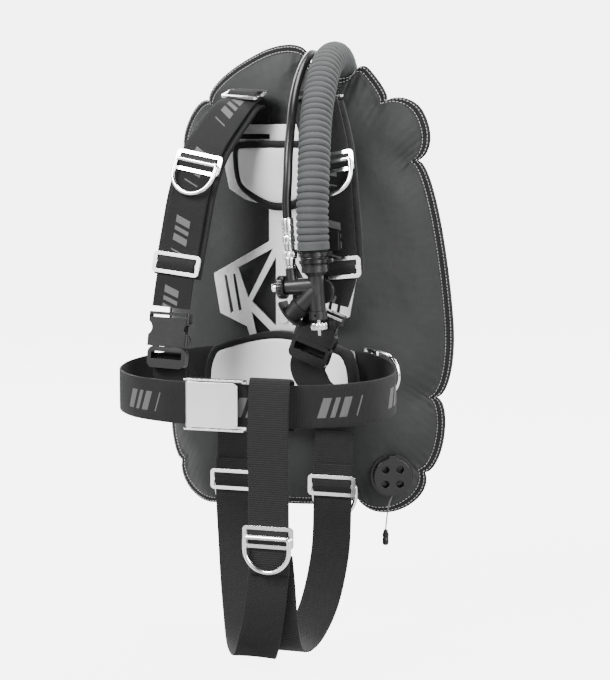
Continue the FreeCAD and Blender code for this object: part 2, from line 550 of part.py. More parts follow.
# Low-pressure hose: coupling on the inlet, over the wing beside the big hose, and down behind
coupling = ring(V(STUB_X, 0, -17 + GAP), V(STUB_X, 0, 7), 6.2, 3.6 + GAP).fuse(
    rod(V(STUB_X, 0, 7), V(STUB_X, 0, 39.5), 6.4)).fuse(rod(V(STUB_X, 0, 14), V(STUB_X, 0, 39.5), 7.0))
export("lp_coupling", on_inflator(coupling.removeSplitter()))
export("lp_collar", on_inflator(ring(V(STUB_X, 0, -9), V(STUB_X, 0, 2), 8.8, 6.2 + GAP)))
LP_START = inflator_point(STUB_X, 0, 39.5)
LP_ROUTE = [
    LP_START, inflator_point(STUB_X, 0, 59), V(49.5, -126, 116), V(47.5, -119, 144), V(45.5, -106, 172), V(41.5, -88, 198),
    V(37.5, -66, 221), V(34.5, -40, 243), V(32.5, -14, 259), V(31.5, 11, 268.5), V(31, 36, 265), V(30.5, 50, 250),
    V(29.5, 54, 227), V(27, 50.5, 199), V(25, 47, 170), V(26, 45.5, 141), V(30, 46, 113), V(37, 47, 86),
    V(45, 48.5, 60), V(51, 50, 34), V(54, 51, 11)]
export("lp_hose", tube("low-pressure hose", LP_ROUTE, LP_R))
end_down = unit(LP_ROUTE[-1] - LP_ROUTE[-2])
end = LP_ROUTE[-1]
fitting = rod(end, end + end_down * 16, 7.0).fuse(rod(end + end_down * 16, end + end_down * 24, 7.6))
export("lp_hose_end", fitting.fuse(rod(end + end_down * 24, end + end_down * 34, 4.76)).removeSplitter())
print("lp end", end, "down", end_down)

keeper_place = station(LEFT_ROUTE, X_AXIS, 290.0)
keeper = box((-7, -4, -12), (7, 3, 12))
export("hose_keeper", fitted(keeper, keeper_place, WEB_LIFT + WEB_T / 2 + GAP + 3))

# Dump valve on the wing's lower left lobe
VALVE_X, VALVE_Z_AT = 130.0, -258.0
valve_out = unit(V(VALVE_X, -math.sqrt(WING_R ** 2 - VALVE_X ** 2), 0))
valve_at = V(0, WING_AXIS_Y, VALVE_Z_AT) + valve_out * WING_R


def on_valve(shape):
    """Drawn with z outwards from the wing and y up."""
    return placed(shape, valve_at, Z_AXIS.cross(valve_out), valve_out)


valve = rod(V(0, 0, GAP), V(0, 0, 3), VALVE_R).fuse(ring(V(0, 0, 2), V(0, 0, 10), 23.5, 20))
valve = valve.fuse(rod(V(0, 0, -7), V(0, 0, 1), 11.6)).cut(rod(V(0, 0, -8), V(0, 0, 4), 9))
valve = valve.cut(box((-3, -30, 5), (3, -15, 12)))
export("dump_valve_body", on_valve(valve.removeSplitter()))
cover = rod(V(0, 0, 10 + GAP), V(0, 0, 13), 23.5)
for turn in range(4):
    angle = math.radians(45 + 90 * turn)
    cover = cover.cut(rod(V(13 * math.cos(angle), 13 * math.sin(angle), 9),
                          V(13 * math.cos(angle), 13 * math.sin(angle), 14), 4.6))
cover = cover.fuse(box((-5, 22, 10 + GAP), (5, 27, 13)))
export("dump_valve_cover", on_valve(cover.removeSplitter()))
export("dump_poppet", on_valve(rod(V(0, 0, 3 + GAP), V(0, 0, 5.5), 12)))
cord_start = valve_at + valve_out * 7 + Z_AXIS * -24
CORD_ROUTE = [cord_start, V(129, 26.5, -293), V(127, 27, -304), V(125.5, 27.5, -315), V(124.5, 27.5, -326)]
export("dump_cord", tube("dump cord", CORD_ROUTE, CORD_R))
cord_end = CORD_ROUTE[-1]
export("dump_toggle", rod(cord_end, cord_end - Z_AXIS * 20, 4.0))
print("valve at", valve_at, "out", valve_out, "cord start", cord_start)

valve_hole = rod(valve_at - valve_out * 9, valve_at + valve_out * 9, 12)
for name, solid in (("wing_shell", wing_shell), ("inner_bladder", bladder)):
    export(name, solid.cut(valve_hole).cut(elbow_hole))
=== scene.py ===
"""Buoyancy compensator vest: the finished surfaces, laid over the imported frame.

Metres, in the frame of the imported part: +X is the wearer's left, +Y points back to the cylinder, +Z is up.
Routes and outlines are written in millimetres and scaled once.
"""
import math

import bmesh
import bpy
import numpy as np
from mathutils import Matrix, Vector


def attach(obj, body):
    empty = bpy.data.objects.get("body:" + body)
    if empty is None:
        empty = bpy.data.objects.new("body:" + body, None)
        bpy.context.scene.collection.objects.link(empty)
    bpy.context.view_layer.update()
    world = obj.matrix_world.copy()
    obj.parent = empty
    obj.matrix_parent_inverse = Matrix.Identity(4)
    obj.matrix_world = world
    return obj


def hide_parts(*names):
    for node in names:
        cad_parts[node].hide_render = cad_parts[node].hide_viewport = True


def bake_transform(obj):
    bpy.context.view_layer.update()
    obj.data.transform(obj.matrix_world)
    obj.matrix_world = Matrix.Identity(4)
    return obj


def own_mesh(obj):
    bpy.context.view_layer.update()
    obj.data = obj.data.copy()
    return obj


bl_info = {
    "name": "Buoyancy compensator vest",
    "version": (1, 0, 0),
    "blender": (4, 5, 0),
    "location": "3D View > Sidebar > Vest",
    "description": "Makes the wing, harness, hoses and inflator of a backplate diving vest",
    "category": "Add Mesh",
}

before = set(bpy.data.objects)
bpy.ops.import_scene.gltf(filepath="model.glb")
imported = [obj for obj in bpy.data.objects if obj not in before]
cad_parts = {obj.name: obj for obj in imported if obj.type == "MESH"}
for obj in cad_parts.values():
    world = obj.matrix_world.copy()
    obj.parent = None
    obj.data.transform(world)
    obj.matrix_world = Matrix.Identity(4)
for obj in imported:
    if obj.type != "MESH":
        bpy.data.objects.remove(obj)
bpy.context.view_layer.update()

X_AXIS, _, Z_AXIS = np.eye(3)

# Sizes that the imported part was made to, in millimetres
WEB_W, WEB_T = 50.0, 2.4
PAD_W, PAD_T = 62.0, 8.0
GAP = 0.3
WING_R, WING_T, WING_FRONT = 330.0, 26.0, 8.0
WING_AXIS_Y = WING_FRONT + WING_R
BINDING_W, BINDING_T = 10.0, 5.0
RING_W, RING_H, RING_WIRE = 60.0, 46.0, 2.75
GLIDE_T = 3.0
WEB_LIFT = PAD_T / 2 + GAP * 3 + WEB_T / 2
GLIDE_LIFT = WEB_LIFT + WEB_T / 2 + GAP * 3 + GLIDE_T / 2
RING_LIFT = GLIDE_LIFT + GLIDE_T / 2 + GAP + RING_WIRE

# (notch, top of the lobe that follows it), clockwise seen from the front
WING_LOBES = [
    ((-118, 211), (-40, 271)), ((22, 269), (54, 241)), ((84, 250), (97, 250)), ((118, 211), (160, 196)),
    ((154, 136), (194, -62)), ((176, -162), (185, -214)), ((164, -257), (136, -304)), ((86, -288), (0, -299)),
    ((-86, -288), (-136, -306)), ((-170, -259), (-191, -214)), ((-180, -162), (-194, -62)),
    ((-154, 136), (-158, 178)),
]
WING_POLE = (0.0, -20.0)
SPINE_LOW, SPINE_HIGH = -140.0, 120.0

SHOULDER_ROUTE = {
    "right": [(-46, 2.2, 120), (-46, 2.2, 178), (-46, 1, 196), (-47, -10, 206), (-55, -28, 198), (-69, -48, 172),
              (-82, -66, 140), (-91, -80, 98), (-98, -89, 46), (-104, -98, -4), (-107, -105, -42)],
    "left": [(46, 2.2, 120), (46, 2.2, 178), (46, 1, 196), (47, -10, 206), (55, -28, 198), (69, -48, 172),
             (82, -66, 140), (91, -80, 98), (98, -88, 46), (102, -94, 6), (94, -99, -30)],
}
PAD_FROM, PAD_TO = 3, 10
RING_RUN = 197.0
BUCKLE_TILT = {"right": (-0.04, -0.14, -0.99), "left": (-0.34, -0.02, -0.94)}
BUCKLE_TOP = {"right": (-107, -110, -47), "left": (89.5, -104.5, -37)}
LOWER_ENDS = {
    "right": [(-112, -92, -136), (-113, -62, -145), (-112, -35, -143)],
    "left": [(72, -82, -133), (94, -62, -144), (104, -44, -144)],
}
TAIL_BACK = 9.5

BELT_SIDE = [(70, 2.2, -124), (100, 2.2, -124), (122, -12, -126), (147, -38, -129), (166, -72, -133),
             (172, -104, -137), (161, -142, -140), (128, -177, -142), (84, -197, -143), (60, -203, -143)]
BELT_END = {"right": (-48.5, -206, -143), "left": (28.5, -206, -143)}

FRONT_X = 57
CROTCH_FRONT = [(FRONT_X, -210, -116), (FRONT_X, -213.5, -150), (FRONT_X, -214, -190), (FRONT_X, -213, -260),
                (FRONT_X, -211, -338)]
CROTCH_LOOP = [(FRONT_X, -192, -172), (FRONT_X, -191, -143), (FRONT_X, -193, -117), (FRONT_X, -201, -112.2),
               (FRONT_X, -209.2, -114.5)]
CROTCH_REAR = {
    "right": [(-63, -14, -240), (-63, -15, -290), (-56, -24, -350), (-40, -52, -408), (-18, -92, -448),
              (10, -140, -456), (32, -182, -432), (47, -201, -386), (54, -206.5, -345), (56, -208, -318)],
    "left": [(68, -14, -240), (68, -15, -290), (68, -24, -350), (64, -50, -405), (58, -88, -438),
             (56, -132, -446), (58, -170, -432), (60, -191, -396), (60, -199.5, -352), (58, -202.5, -318)],
}

INFLATOR_AT = np.array([82.5, -128, 34])
INFLATOR_UP = np.array([-0.075, 0, 1])
HOSE_R, LP_R, CORD_R = 19.0, 5.5, 0.9


# ---------------------------------------------------------------- points and frames

def mm(points):
    """Millimetres as an array of metres."""
    return np.array(points, float) * 0.001


def unit(vectors):
    return vectors / np.linalg.norm(vectors, axis=-1, keepdims=True)


def flowing(points, per_run=8):
    """A Catmull-Rom line: between each two points, the cubic whose slopes are half the step from the point
    before to the point after."""
    ends = np.vstack([2 * points[0] - points[1], points, 2 * points[-1] - points[-2]])
    t = np.linspace(0, 1, per_run, endpoint=False)[:, None]
    a, b, c, d = (ends[i:len(ends) - 3 + i, None] for i in range(4))
    runs = 0.5 * (2 * b + (c - a) * t + (2 * a - 5 * b + 4 * c - d) * t ** 2 + (3 * b - a - 3 * c + d) * t ** 3)
    return np.vstack([runs.reshape(-1, 3), points[-1:]])


def runs_of(path, closed=False):
    """The length along a path at each of its points, and at its return to the start when closed."""
    steps = np.diff(np.vstack([path, path[:1]]) if closed else path, axis=0)
    return np.concatenate([[0.0], np.cumsum(np.linalg.norm(steps, axis=1))])


def evenly(path, count, closed=False):
    """The same line with its points the same distance apart."""
    run = runs_of(path, closed)
    line = np.vstack([path, path[:1]]) if closed else path
    wanted = np.linspace(0, run[-1], count, endpoint=not closed)
    return np.stack([np.interp(wanted, run, line[:, k]) for k in range(line.shape[1])], axis=1)


def frames(path, across):
    """Tangent, width direction and outward normal: the width is what is left of `across` once its share
    along the tangent is taken away, and the normal is tangent cross width."""
    tangent = unit(np.gradient(path, axis=0))
    width = unit(across - tangent * (tangent @ across)[:, None])
    return tangent, width, np.cross(tangent, width)


def station(route, across, run):
    """Place, tangent, width and normal of the part's own straight-run band at a distance along it, in millimetres."""
    points = np.array(route, float)
    n = len(points)
    slopes = unit(points[np.minimum(np.arange(n) + 1, n - 1)] - points[np.maximum(np.arange(n) - 1, 0)])
    widths = unit(across - slopes * (slopes @ across)[:, None])
    outward = np.cross(slopes, widths)
    along = runs_of(points)
    i = min(int(np.searchsorted(along, run, side="right")) - 1, n - 2)
    t = (run - along[i]) / (along[i + 1] - along[i])
    return (points[i] + (points[i + 1] - points[i]) * t, unit(points[i + 1] - points[i]),
            unit(widths[i] + (widths[i + 1] - widths[i]) * t), unit(outward[i] + (outward[i + 1] - outward[i]) * t))


def turned_axes(x_dir, z_dir):
    """Right-handed axes with z along z_dir and x as near x_dir as that lets it be."""
    z = unit(np.array(z_dir, float))
    x = unit(np.array(x_dir, float) - z * np.dot(x_dir, z))
    return np.array([x, np.cross(z, x), z])


def placed(points, at, axes):
    """Points drawn about the origin, carried to a place and its axes."""
    return np.asarray(at) + points @ axes


INFLATOR_AXES = turned_axes(X_AXIS, INFLATOR_UP)


def inflator_point(x, y, z):
    return tuple(placed(np.array([x, y, z], float), INFLATOR_AT, INFLATOR_AXES))


def eased(outline, rounds=3):
    """A closed outline with its corners cut: every side keeps its middle half, again and again."""
    for _ in range(rounds):
        after = np.roll(outline, -1, axis=0)
        outline = np.stack([0.75 * outline + 0.25 * after, 0.25 * outline + 0.75 * after], axis=1).reshape(-1, 2)
    return outline


def mirrored(half):
    """A closed outline from its half on +X, top down, and the mirror image of that."""
    return np.array(half + [(-x, z) for x, z in reversed(half) if x > 0], float)


def ease(low, high, value):
    """A smooth step from 0 at low to 1 at high."""
    t = np.clip((value - low) / (high - low), 0, 1)
    return t * t * (3 - 2 * t)


def stadium(width, thick, flats=9, rounds=5):
    """A strap's section: two flats joined by half rounds. The back comes first, the face after."""
    half, r = width / 2 - thick / 2, thick / 2
    flat = np.linspace(-half, half, flats)
    turn = np.linspace(-math.pi / 2, math.pi / 2, rounds + 2)[1:-1]
    end = np.stack([half + r * np.cos(turn), r * np.sin(turn)], axis=1)
    back = np.stack([flat, np.full(flats, -r)], axis=1)
    return np.vstack([back, end, -back, -end])


def circle(radius, count):
    angles = math.tau * np.arange(count) / count
    return radius * np.stack([np.cos(angles), np.sin(angles)], axis=1)


# ---------------------------------------------------------------- meshes

def mesh_piece(name, points, faces, uv, sharp=38):
    """A finished mesh: doubles merged, normals outwards, smooth except where it turns by more than `sharp` degrees."""
    mesh = bpy.data.meshes.new(name)
    mesh.from_pydata(points, [], faces)
    if uv is not None:
        mesh.uv_layers.new(name="UVMap").uv.foreach_set("vector", np.ascontiguousarray(uv, np.float32).ravel())
    work = bmesh.new()
    work.from_mesh(mesh)
    bmesh.ops.remove_doubles(work, verts=work.verts, dist=2e-6)
    bmesh.ops.recalc_face_normals(work, faces=work.faces)
    work.to_mesh(mesh)
    work.free()
    mesh.shade_smooth()
    mesh.set_sharp_from_angle(angle=math.radians(sharp))
    piece = bpy.data.objects.new(name, mesh)
    bpy.context.scene.collection.objects.link(piece)
    return piece


def sheet_faces(rows, cols, round_rows, round_cols):
    """The corners of each square of a grid, by row and column; a round way joins its last line to its first."""
    r, c = np.meshgrid(np.arange(rows - (not round_rows)), np.arange(cols - (not round_cols)), indexing="ij")
    corner = [(r, c), (r, c + 1), (r + 1, c + 1), (r + 1, c)]
    return corner, np.stack([(i % rows) * cols + j % cols for i, j in corner], axis=-1).reshape(-1, 4)


def skin(name, grid, round_cols=True, round_rows=False, ends=False, sharp=38, planar=None):
    """A mesh over rows of points. Its map runs in metres: u along a row, v from row to row, or as planar gives it."""
    rows, cols = grid.shape[:2]
    corner, faces = sheet_faces(rows, cols, round_rows, round_cols)
    u, v = runs_of(grid[rows // 2], round_cols), runs_of(grid.mean(axis=1), round_rows)
    if planar is None:
        uv = np.stack([np.stack([u[j], v[i]], axis=-1) for i, j in corner], axis=-2).reshape(-1, 2)
    else:
        uv = planar.reshape(-1, 2)[faces].reshape(-1, 2)
    faces = faces.tolist()
    if ends:
        last = (rows - 1) * cols
        faces += [list(range(cols))[::-1], [last + k for k in range(cols)]]
        flat = np.stack([u[:cols], np.zeros(cols)], axis=1)
        uv = np.vstack([uv, flat[::-1], flat + [0, v[-1]]])
    return mesh_piece(name, grid.reshape(-1, 3).tolist(), faces, uv, sharp)


def many(name, template, faces, places, axes, sharp=38):
    """One mesh of many small copies of a shape, each at its place and turned to its axes."""
    points = places[:, None] + np.einsum("vk,nkj->nvj", template, axes)
    every = faces[None] + (np.arange(len(places)) * len(template))[:, None, None]
    return mesh_piece(name, points.reshape(-1, 3).tolist(), every.reshape(-1, faces.shape[1]).tolist(), None, sharp)


def tube(path, radius, across=X_AXIS, sides=32):
    """Rings of points about a path; the radius may change along it."""
    _, width, normal = frames(path, across)
    ring = circle(1.0, sides)
    radius = np.broadcast_to(np.asarray(radius, float), (len(path),))[:, None, None]
    return path[:, None] + radius * (width[:, None] * ring[None, :, :1] + normal[:, None] * ring[None, :, 1:])


def turned(name, profile, at, axes, sides=56, closed=False, sharp=38, lobes=0):
    """A turned piece: each (radius, height) of the profile carried round the axis. A third number in a row cuts
    flutes or flats into it: that share of the radius, as a cosine with so many lobes round. Millimetres."""
    profile = np.array([tuple(row) + (0.0,) * (3 - len(row)) for row in profile], float)
    turn = math.tau * np.arange(sides) / sides
    radius = profile[:, :1] * (1 - profile[:, 2:] * (0.5 - 0.5 * np.cos(lobes * turn)))
    height = np.broadcast_to(profile[:, 1:2], radius.shape)
    grid = np.stack([radius * np.cos(turn), radius * np.sin(turn), height], axis=2)
    return skin(name, placed(grid, at, axes) * 0.001, round_rows=closed, sharp=sharp)


def route_line(name, route):
    """Points along the NURBS spline whose control points are the route's."""
    curve = bpy.data.curves.new(name, "CURVE")
    curve.dimensions = "3D"
    spline = curve.splines.new("NURBS")
    spline.points.add(len(route) - 1)
    spline.points.foreach_set("co", np.hstack([mm(route), np.ones((len(route), 1))]).ravel())
    spline.order_u = 3
    spline.use_endpoint_u = True
    spline.resolution_u = 24
    holder = bpy.data.objects.new(name, curve)
    bpy.context.scene.collection.objects.link(holder)
    line = bpy.data.meshes.new_from_object(holder)
    points = np.empty(len(line.vertices) * 3)
    line.vertices.foreach_get("co", points)
    bpy.data.objects.remove(holder)
    bpy.data.curves.remove(curve)
    bpy.data.meshes.remove(line)
    return points.reshape(-1, 3)


def cast(piece, look, body=None, nodes=()):
    """Gives a piece its finish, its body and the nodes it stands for."""
    piece.data.materials.clear()
    piece.data.materials.append(finish(look))
    if body:
        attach(piece, body)
    if nodes:
        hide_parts(*nodes)
    return piece


def softened(name, nodes, look, body, bevel=0.6, segments=2):
    """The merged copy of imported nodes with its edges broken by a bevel, as moulded or tumbled edges are."""
    work = bmesh.new()
    for node in nodes:
        work.from_mesh(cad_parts[node].data)
    bmesh.ops.remove_doubles(work, verts=work.verts, dist=1e-5)
    bmesh.ops.dissolve_limit(work, angle_limit=math.radians(1.5), verts=work.verts, edges=work.edges)
    mesh = bpy.data.meshes.new(name)
    work.to_mesh(mesh)
    work.free()
    mesh.shade_smooth()
    mesh.set_sharp_from_angle(angle=math.radians(32))
    piece = bpy.data.objects.new(name, mesh)
    bpy.context.scene.collection.objects.link(piece)
    edge = piece.modifiers.new("broken_edges", "BEVEL")
    edge.width = bevel * 0.001
    edge.segments = segments
    edge.limit_method = "ANGLE"
    edge.angle_limit = math.radians(32)
    edge.use_clamp_overlap = True
    edge.harden_normals = True
    return cast(piece, look, body, nodes)


# ---------------------------------------------------------------- finishes

def add(tree, kind, props=None, **sockets):
    """A node, its settings, and its sockets by name: a socket given is linked, a value is set."""
    made = tree.nodes.new(kind)
    for key, value in (props or {}).items():
        setattr(made, key, value)
    for key, value in sockets.items():
        connect(tree, made.inputs[key.replace("_", " ")], value)
    return made


def connect(tree, socket, value):
    if isinstance(value, bpy.types.NodeSocket):
        tree.links.new(value, socket)
    else:
        socket.default_value = value


def calc(tree, operation, *values):
    made = tree.nodes.new("ShaderNodeMath")
    made.operation = operation
    for socket, value in zip(made.inputs, values):
        connect(tree, socket, value)
    return made.outputs[0]


def mixed(tree, factor, first, second, kind="MIX"):
    """Two colours mixed by a factor."""
    made = tree.nodes.new("ShaderNodeMix")
    made.data_type = "RGBA"
    made.blend_type = kind
    for socket, value in zip((made.inputs[0], made.inputs[6], made.inputs[7]), (factor, first, second)):
        connect(tree, socket, value)
    return made.outputs[2]


def spread(tree, value, low, high, to_low, to_high):
    """A value taken from one span to another, held at both ends."""
    made = add(tree, "ShaderNodeMapRange", {"clamp": True}, Value=value, From_Min=low, From_Max=high,
               To_Min=to_low, To_Max=to_high)
    return made.outputs["Result"]


def tinted(colour, factor):
    return tuple(min(1.0, c * factor) for c in colour[:3]) + (1.0,)


def group(name, inputs, outputs):
    """An empty node group with its named inputs and outputs."""
    tree = bpy.data.node_groups.new(name, "ShaderNodeTree")
    for label, kind, value in inputs:
        socket = tree.interface.new_socket(label, in_out="INPUT", socket_type=kind)
        if value is not None:
            socket.default_value = value
    for label in outputs:
        tree.interface.new_socket(label, in_out="OUTPUT", socket_type="NodeSocketFloat")
    return tree, tree.nodes.new("NodeGroupInput").outputs, tree.nodes.new("NodeGroupOutput").inputs


VECTOR, FLOAT = "NodeSocketVector", "NodeSocketFloat"


def tone_group():
    """Slow and quick unevenness: broad noise weighed against fine noise."""
    tree, given, wanted = group("Uneven tone", [("Vector", VECTOR, None), ("Scale", FLOAT, 20.0)], ["Tone", "Fine"])
    broad = add(tree, "ShaderNodeTexNoise", Vector=given["Vector"], Scale=given["Scale"], Detail=3.0, Roughness=0.55)
    fine = add(tree, "ShaderNodeTexNoise", Vector=given["Vector"],
               Scale=calc(tree, "MULTIPLY", given["Scale"], 14.0), Detail=2.0)
    both = calc(tree, "MULTIPLY_ADD", fine.outputs[0], 0.3, calc(tree, "MULTIPLY", broad.outputs[0], 0.7))
    tree.links.new(both, wanted["Tone"])
    tree.links.new(fine.outputs[0], wanted["Fine"])
    return tree


def weave_group():
    """A plain weave: warp and weft waves multiplied, so threads go over and under by turns."""
    tree, given, wanted = group("Plain weave", [("Vector", VECTOR, None), ("Pitch", FLOAT, 0.001)], ["Height"])
    place = add(tree, "ShaderNodeSeparateXYZ", Vector=given["Vector"]).outputs
    turn = calc(tree, "DIVIDE", math.tau, given["Pitch"])
    waves = [calc(tree, "SINE", calc(tree, "MULTIPLY", place[k], turn)) for k in (0, 1)]
    tree.links.new(calc(tree, "MULTIPLY_ADD", calc(tree, "MULTIPLY", *waves), 0.5, 0.5), wanted["Height"])
    return tree


def ribs_group():
    """Webbing: ribs across the strap as half waves along it, and slanting yarns that lie over them. Shade is the same
    height spread to 0..1 for the base colour: painted shade, darker where ribs and yarns lie low.
    """
    tree, given, wanted = group("Webbing ribs", [("Vector", VECTOR, None), ("Rib", FLOAT, 0.0026),
                                                 ("Yarn", FLOAT, 0.0016), ("Slant", FLOAT, 0.5)], ["Height", "Shade"])
    place = add(tree, "ShaderNodeSeparateXYZ", Vector=given["Vector"]).outputs
    rib_turn = calc(tree, "MULTIPLY", calc(tree, "DIVIDE", place[1], given["Rib"]), math.pi)
    rib = calc(tree, "ABSOLUTE", calc(tree, "SINE", rib_turn))
    slanted = calc(tree, "MULTIPLY_ADD", place[1], given["Slant"], place[0])
    yarn = calc(tree, "SINE", calc(tree, "MULTIPLY", calc(tree, "DIVIDE", slanted, given["Yarn"]), math.tau))
    height = calc(tree, "MULTIPLY_ADD", yarn, 0.22, calc(tree, "MULTIPLY", rib, 0.78))
    tree.links.new(height, wanted["Height"])
    # Shade: painted shade in the grooves, the height used again as colour
    tree.links.new(spread(tree, height, -0.1, 0.9, 0.0, 1.0), wanted["Shade"])
    return tree


def bars_group():
    """Woven marks: a repeat of plain bars, wide and narrow, slanted a little, on the face of a strap."""
    tree, given, wanted = group("Woven bars", [("Vector", VECTOR, None), ("Middle", FLOAT, 0.077),
                                               ("Half Height", FLOAT, 0.011), ("Start", FLOAT, 0.0),
                                               ("Repeat", FLOAT, 0.09)], ["Mask"])
    place = add(tree, "ShaderNodeSeparateXYZ", Vector=given["Vector"]).outputs
    off = calc(tree, "SUBTRACT", place[0], given["Middle"])
    along = calc(tree, "ADD", calc(tree, "SUBTRACT", place[1], given["Start"]), calc(tree, "MULTIPLY", off, 0.35))
    share = calc(tree, "FLOORED_MODULO", calc(tree, "DIVIDE", along, given["Repeat"]), 1.0)
    bars = add(tree, "ShaderNodeValToRGB", Fac=share)
    bars.color_ramp.interpolation = "CONSTANT"
    edges = [(0.0, 0), (0.12, 1), (0.22, 0), (0.27, 1), (0.33, 0), (0.38, 1), (0.48, 0), (0.60, 1), (0.62, 0)]
    stops = bars.color_ramp.elements
    while len(stops) < len(edges):
        stops.new(0.5)
    for stop, (at, value) in zip(stops, edges):
        stop.position = at
        stop.color = (value, value, value, 1)
    inside = calc(tree, "LESS_THAN", calc(tree, "ABSOLUTE", off), given["Half Height"])
    tree.links.new(calc(tree, "MULTIPLY", bars.outputs[0], inside), wanted["Mask"])
    return tree


def wear_group():
    """Scuffs and rubbed spots: where two stretched noises are both high."""
    tree, given, wanted = group("Scuffs", [("Vector", VECTOR, None), ("Scale", FLOAT, 60.0)], ["Mask"])
    masks = []
    for stretch in ((1.0, 0.12, 0.5), (0.2, 1.0, 1.0)):
        pulled = add(tree, "ShaderNodeVectorMath", {"operation": "MULTIPLY"})
        connect(tree, pulled.inputs[0], given["Vector"])
        connect(tree, pulled.inputs[1], stretch)
        masks.append(add(tree, "ShaderNodeTexNoise", Vector=pulled.outputs[0], Scale=given["Scale"], Detail=4.0,
                         Roughness=0.7).outputs[0])
    tree.links.new(spread(tree, calc(tree, "MULTIPLY", *masks), 0.27, 0.42, 0.0, 1.0), wanted["Mask"])
    return tree


GROUPS = {"tone": tone_group, "weave": weave_group, "ribs": ribs_group, "bars": bars_group, "wear": wear_group}
built_groups = {}


def use(tree, name, **sockets):
    """One of the shared groups, placed in a material with its own values."""
    if name not in built_groups:
        built_groups[name] = GROUPS[name]()
    made = add(tree, "ShaderNodeGroup", {"node_tree": built_groups[name]}, **sockets)
    return made.outputs


def bump(tree, shader, height, strength, distance, below=None):
    """Relief from a height, over another relief if there is one."""
    made = add(tree, "ShaderNodeBump", Height=height, Strength=strength, Distance=distance)
    if below is not None:
        tree.links.new(below, made.inputs["Normal"])
    tree.links.new(made.outputs["Normal"], shader.inputs["Normal"])
    return made.outputs["Normal"]


def colour_and_gloss(tree, shader, colour, low, high, tone, gloss):
    """Base colour between two strengths of one colour, and roughness between two values, by a tone."""
    tree.links.new(mixed(tree, tone, tinted(colour, low), tinted(colour, high)), shader.inputs["Base Color"])
    tree.links.new(spread(tree, tone, 0.25, 0.75, *gloss), shader.inputs["Roughness"])
    shader.inputs["Specular IOR Level"].default_value = 0.28


def wing_cloth(tree, shader, place, colours):
    """Coated nylon: fine plain weave, soft mottling, a low sheen. The colour is a little darker where the weave lies
    low, which is painted shade.
    """
    tone = use(tree, "tone", Vector=place["Object"], Scale=9.0)
    weave = use(tree, "weave", Vector=place["UV"], Pitch=0.0011)["Height"]
    # colour factor: painted shade where the weave lies low (0.25) and random mottling (0.75)
    shade = calc(tree, "MULTIPLY_ADD", weave, 0.25, calc(tree, "MULTIPLY", tone["Tone"], 0.75))
    colour_and_gloss(tree, shader, colours.wing_cloth, 0.72, 1.3, shade, (0.5, 0.66))
    crumple = add(tree, "ShaderNodeTexNoise", Vector=place["Object"], Scale=34.0, Detail=3.0).outputs[0]
    under = bump(tree, shader, crumple, 0.35, 0.004)
    bump(tree, shader, weave, 0.35, 0.0003, under)
    shader.inputs["Sheen Weight"].default_value = 0.06
    shader.inputs["Sheen Roughness"].default_value = 0.5
    shader.inputs["Specular IOR Level"].default_value = 0.4


def hem_tape(tree, shader, place, colours):
    """The woven tape that binds the wing's edge: tight grosgrain ribs. Its colour is half painted shade in the rib
    grooves and half random tone.
    """
    ribs = use(tree, "ribs", Vector=place["UV"], Rib=0.0017, Yarn=0.0013, Slant=0.2)
    tone = use(tree, "tone", Vector=place["Object"], Scale=30.0)["Tone"]
    # colour factor: half painted shade in the rib grooves, half random tone
    shade = calc(tree, "MULTIPLY_ADD", ribs["Shade"], 0.5, calc(tree, "MULTIPLY", tone, 0.5))
    colour_and_gloss(tree, shader, colours.webbing, 0.7, 1.7, shade, (0.6, 0.8))
    bump(tree, shader, ribs["Height"], 0.6, 0.0005)


def webbing_look(rib, yarn, slant, marks=None):
    """A strap's finish for one weave; marks gives where its woven bars start, repeat and reach. The colour is darker in
    the rib grooves, painted shade, mixed with random tone; the bars carry the same painted shade.
    """
    def look(tree, shader, place, colours):
        ribs = use(tree, "ribs", Vector=place["UV"], Rib=rib, Yarn=yarn, Slant=slant)
        tone = use(tree, "tone", Vector=place["Object"], Scale=45.0)["Tone"]
        # colour factor: painted shade in the rib grooves (0.6) and random tone (0.4)
        shade = calc(tree, "MULTIPLY_ADD", ribs["Shade"], 0.6, calc(tree, "MULTIPLY", tone, 0.4))
        colour_and_gloss(tree, shader, colours.webbing, 0.45, 1.75, shade, (0.55, 0.8))
        if marks:
            start, repeat, half = marks
            mask = use(tree, "bars", Vector=place["UV"], Start=start, Repeat=repeat, Half_Height=half)["Mask"]
            plain = shader.inputs["Base Color"].links[0].from_socket
            # the bars' pale colour also follows this factor, so it carries the painted groove shade too
            light = mixed(tree, shade, tinted(colours.woven_mark, 0.6), tinted(colours.woven_mark, 1.25))
            tree.links.new(mixed(tree, mask, plain, light), shader.inputs["Base Color"])
        bump(tree, shader, ribs["Height"], 0.7, 0.0007)
        shader.inputs["Sheen Weight"].default_value = 0.04
        shader.inputs["Specular IOR Level"].default_value = 0.25
    return look


def pad_cloth(tree, shader, place, colours):
    """Knitted face over foam: a dimpled mesh and a soft surface. The dimples are darker in colour too, painted shade
    from the same cells as their relief.
    """
    cells = add(tree, "ShaderNodeTexVoronoi", Vector=place["Object"], Scale=520.0).outputs["Distance"]
    tone = use(tree, "tone", Vector=place["Object"], Scale=26.0)["Tone"]
    # colour factor: painted shade in the dimples, from the cells that also make the relief, and random tone
    shade = calc(tree, "MULTIPLY_ADD", cells, 0.45, calc(tree, "MULTIPLY", tone, 0.6))
    colour_and_gloss(tree, shader, colours.pad_cloth, 0.6, 1.5, shade, (0.68, 0.85))
    bump(tree, shader, cells, 0.5, 0.0006)
    shader.inputs["Sheen Weight"].default_value = 0.05
    shader.inputs["Specular IOR Level"].default_value = 0.25


